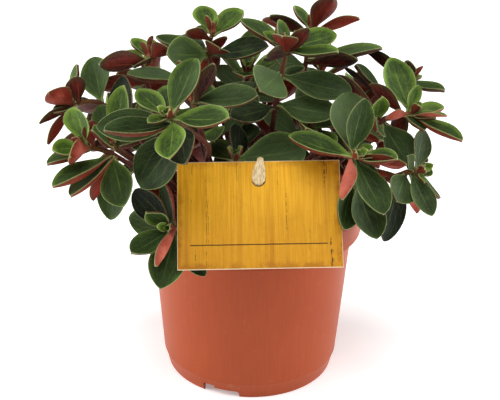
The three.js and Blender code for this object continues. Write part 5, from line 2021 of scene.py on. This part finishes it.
@dataclass
class Soil:
    """The potting mix, in millimetres: an uneven top with crumbs and chips pressed into it."""

    top: float = 86.5
    lump: float = 1.5
    radius: float = 52.9
    crumbs: int = 260
    steps: int = 88

    def height(self, x: float, y: float) -> float:
        """The height of the soil's top at a place."""
        broad = math.sin(0.23 * x + 1) * math.cos(0.19 * y - 0.5)
        narrow = math.sin(0.41 * y + 0.29 * x)
        fine = math.sin(1.3 * x + 2.1 * y) * math.sin(1.7 * y - 0.9 * x)
        return self.top + self.lump * (0.6 * broad + 0.4 * narrow) + 0.35 * fine

    def build(self) -> Object:
        """Makes the soil."""
        work = bmesh.new()
        section = [(0.0, 6.9), (46.0, 6.9), (47.2, 9.0), (53.0, 83.0)]
        section += [(self.radius * (1 - k / 24), self.top) for k in range(25)]
        spun(work, section, self.steps, MM)
        bmesh.ops.remove_doubles(work, verts=work.verts[:], dist=1e-6)
        for vert in work.verts:
            if vert.co.z > 84 * MM:
                vert.co.z = self.height(vert.co.x / MM, vert.co.y / MM) * MM
        seed = Dice(4321)
        for _ in range(self.crumbs):
            self._crumb(work, seed)
        bmesh.ops.recalc_face_normals(work, faces=work.faces[:])
        mesh = mesh_of(work, "potting_mix")
        return settle(piece(mesh, [SoilFinish().material()], 40.0), "soil", "soil")

    def _crumb(self, work: BMesh, seed: Dice) -> None:
        """Presses one crumb into the soil's top."""
        turn, away = seed.around(180, 180), 50 * math.sqrt(seed.roll())
        x, y = away * math.cos(math.radians(turn)), away * math.sin(math.radians(turn))
        size = seed.around(1.3, 0.7)
        made = bmesh.ops.create_icosphere(work, subdivisions=1, radius=1.0)["verts"]
        spin = Matrix.Rotation(seed.around(0, 3.1), 4, "Z") @ Matrix.Rotation(seed.around(0, 0.5), 4, "X")
        sizes = (size, size * seed.around(0.8, 0.2), size * seed.around(0.6, 0.2))
        flat = Matrix.Diagonal((*[part * MM for part in sizes], 1))
        place = Matrix.Translation(Vector((x, y, self.height(x, y) + 0.1)) * MM)
        bmesh.ops.transform(work, matrix=place @ spin @ flat, verts=made)


@dataclass
class RibbonTie:
    """The cream ribbon that holds the card: a crowned strap in front, a thin one behind, and its ring."""

    plant: Plant
    crown: float = 0.55
    skin: float = 0.35

    def strap(self, work: BMesh, stops: list[tuple[np.ndarray, float]], crown: float) -> None:
        """Adds a strap through stops.

        Args:
            work: The mesh that it is added to.
            stops: Points with the strap's width at each.
            crown: How far its middle stands proud of its edges.
        """
        rows = 6 * (len(stops) - 1)
        grid = mesh_of(two_skins(rows, 8), "flat_strap")
        flat = corners(grid)
        path = SmoothPath([point for point, _ in stops])
        share, side, upper = (flat[:, 0] + 1) / 2, flat[:, 1], flat[:, 2] > 0.5
        widths = np.interp(share, np.linspace(0, 1, len(stops)), [width for _, width in stops])
        sideways = np.array(self.plant.sheet.frame())[:, 0]
        places = np.zeros_like(flat)
        for row in np.unique(share):
            here = share == row
            step = 0.01
            line = unit(path.point(min(row + step, 1)) - path.point(max(row - step, 0)))
            outward = unit(np.cross(sideways, line))
            bulge = crown * (1 - side[here] ** 2) + 0.12 * np.sin(side[here] * 9 + row * 14)
            raised = bulge + np.where(upper[here], self.skin, 0.0)
            places[here] = (
                path.point(row)
                + np.outer(side[here] * widths[here] / 2, sideways)
                + np.outer(raised, outward)
            )
        grid.vertices.foreach_set("co", (places * MM).ravel())
        work.from_mesh(grid)

    def ring(self, work: BMesh) -> None:
        """Adds the ring round the stem."""
        half, wall = Tie.ring_height / 2, Tie.ring_wall
        outer, inner = Tie.ring_radius, Tie.ring_radius - wall
        turn = Vector((0, 0, 1)).rotation_difference(Vector(self.plant.ring_along)).to_matrix()
        soft = 0.35
        below = [(inner, soft - half), (inner + soft, -half), (outer - soft, -half), (outer, soft - half)]
        above = [(radius, -height) for radius, height in reversed(below)]
        before = set(work.verts)
        spun(work, [*below, (outer + 0.1, 0.0), *above], 36, 1.0, closed=True)
        made = [vert for vert in work.verts if vert not in before]
        place = Matrix.Translation(Vector(self.plant.ring) * MM) @ turn.to_4x4() @ Matrix.Scale(MM, 4)
        bmesh.ops.transform(work, matrix=place, verts=made)

    def build(self) -> Object:
        """Makes the tie."""
        work = bmesh.new()
        front, rear = self.plant.straps
        self.strap(work, front, self.crown)
        self.strap(work, rear, 0.1)
        self.ring(work)
        bmesh.ops.recalc_face_normals(work, faces=work.faces[:])
        mesh = mesh_of(work, "ribbon_tie")
        return settle(piece(mesh, [RibbonFinish().material()], 60.0), "cream_ribbon", "card_tie")


def aimed(data: bpy.types.Light, place: Sequence[float], target: Sequence[float]) -> Object:
    """Puts a light at a place, aimed at a point."""
    lamp = linked(data.name, data)
    aim = (Vector(target) - Vector(place)).to_track_quat("-Z", "Y").to_matrix().to_4x4()
    lamp.matrix_world = Matrix.Translation(place) @ aim
    return lamp


@dataclass(frozen=True)
class Key:
    """The broad overhead light, which reaches the whole floor evenly."""

    place: tuple[float, float, float] = (-0.12, -0.45, 1.6)
    spread: float = 45.0
    strength: float = 2.0

    def build(self) -> Object:
        """Makes the light, aimed at the origin."""
        data = bpy.data.lights.new("overhead_key", "SUN")
        data.energy = self.strength
        data.angle = math.radians(self.spread)
        return aimed(data, self.place, (0, 0, 0))


@dataclass(frozen=True)
class Lamp:
    """One soft rectangular studio lamp."""

    name: str
    place: tuple[float, float, float]
    size: tuple[float, float]
    watts: float

    def build(self, target: Sequence[float]) -> Object:
        """Makes the lamp, aimed at a point."""
        data = bpy.data.lights.new(self.name, "AREA")
        data.shape = "RECTANGLE"
        data.size, data.size_y = self.size
        data.energy = self.watts
        return aimed(data, self.place, target)


@dataclass
class Studio:
    """A white sweep with soft lamps on both sides, above and in front."""

    sky: float = 0.22
    floor: float = 40.0
    target: tuple[float, float, float] = (0.0, 0.0, 0.1)
    key: Key = Key()
    lamps: tuple[Lamp, ...] = (
        Lamp("left_softbox", (-1.15, 0.05, 0.45), (0.8, 0.8), 16.0),
        Lamp("right_softbox", (1.15, 0.05, 0.45), (0.8, 0.8), 14.0),
    )

    def build(self) -> None:
        """Makes the floor, the lamps and the sky."""
        work = bmesh.new()
        bmesh.ops.create_grid(work, x_segments=1, y_segments=1, size=self.floor)
        floor = piece(mesh_of(work, "studio_floor"), [FloorFinish().material()], 30.0)
        self.key.build()
        for lamp in self.lamps:
            lamp.build(self.target)
        world = bpy.data.worlds.new("studio")
        world.use_nodes = True
        sky = world.node_tree.nodes["Background"]
        sky.inputs["Color"].default_value = (1, 1, 1, 1)
        sky.inputs["Strength"].default_value = self.sky
        bpy.context.scene.world = world
        bpy.context.scene.view_settings.view_transform = "Standard"


def main() -> None:
    """Builds the scene, piece by piece."""
    logging.basicConfig(level=logging.INFO, format="%(name)s: %(message)s")
    VIEW.camera()
    sheet = Card()
    plant = Plant(sheet)
    log.info("%d leaves on %d shoots", sum(len(s.blades) for s in plant.shoots), len(plant.shoots))
    foliage = Foliage(plant)
    materials = [LeafFinish().material(), StemFinish().material(), HairFinish().material()]
    for shoot in plant.shoots:
        foliage.build(shoot, materials)
    Pot().build()
    Soil().build()
    log.info("%s: dressed", sheet.dress().name)
    RibbonTie(plant).build()
    Studio().build()
    bpy.context.view_layer.update()


if __name__ == "__main__":
    main()
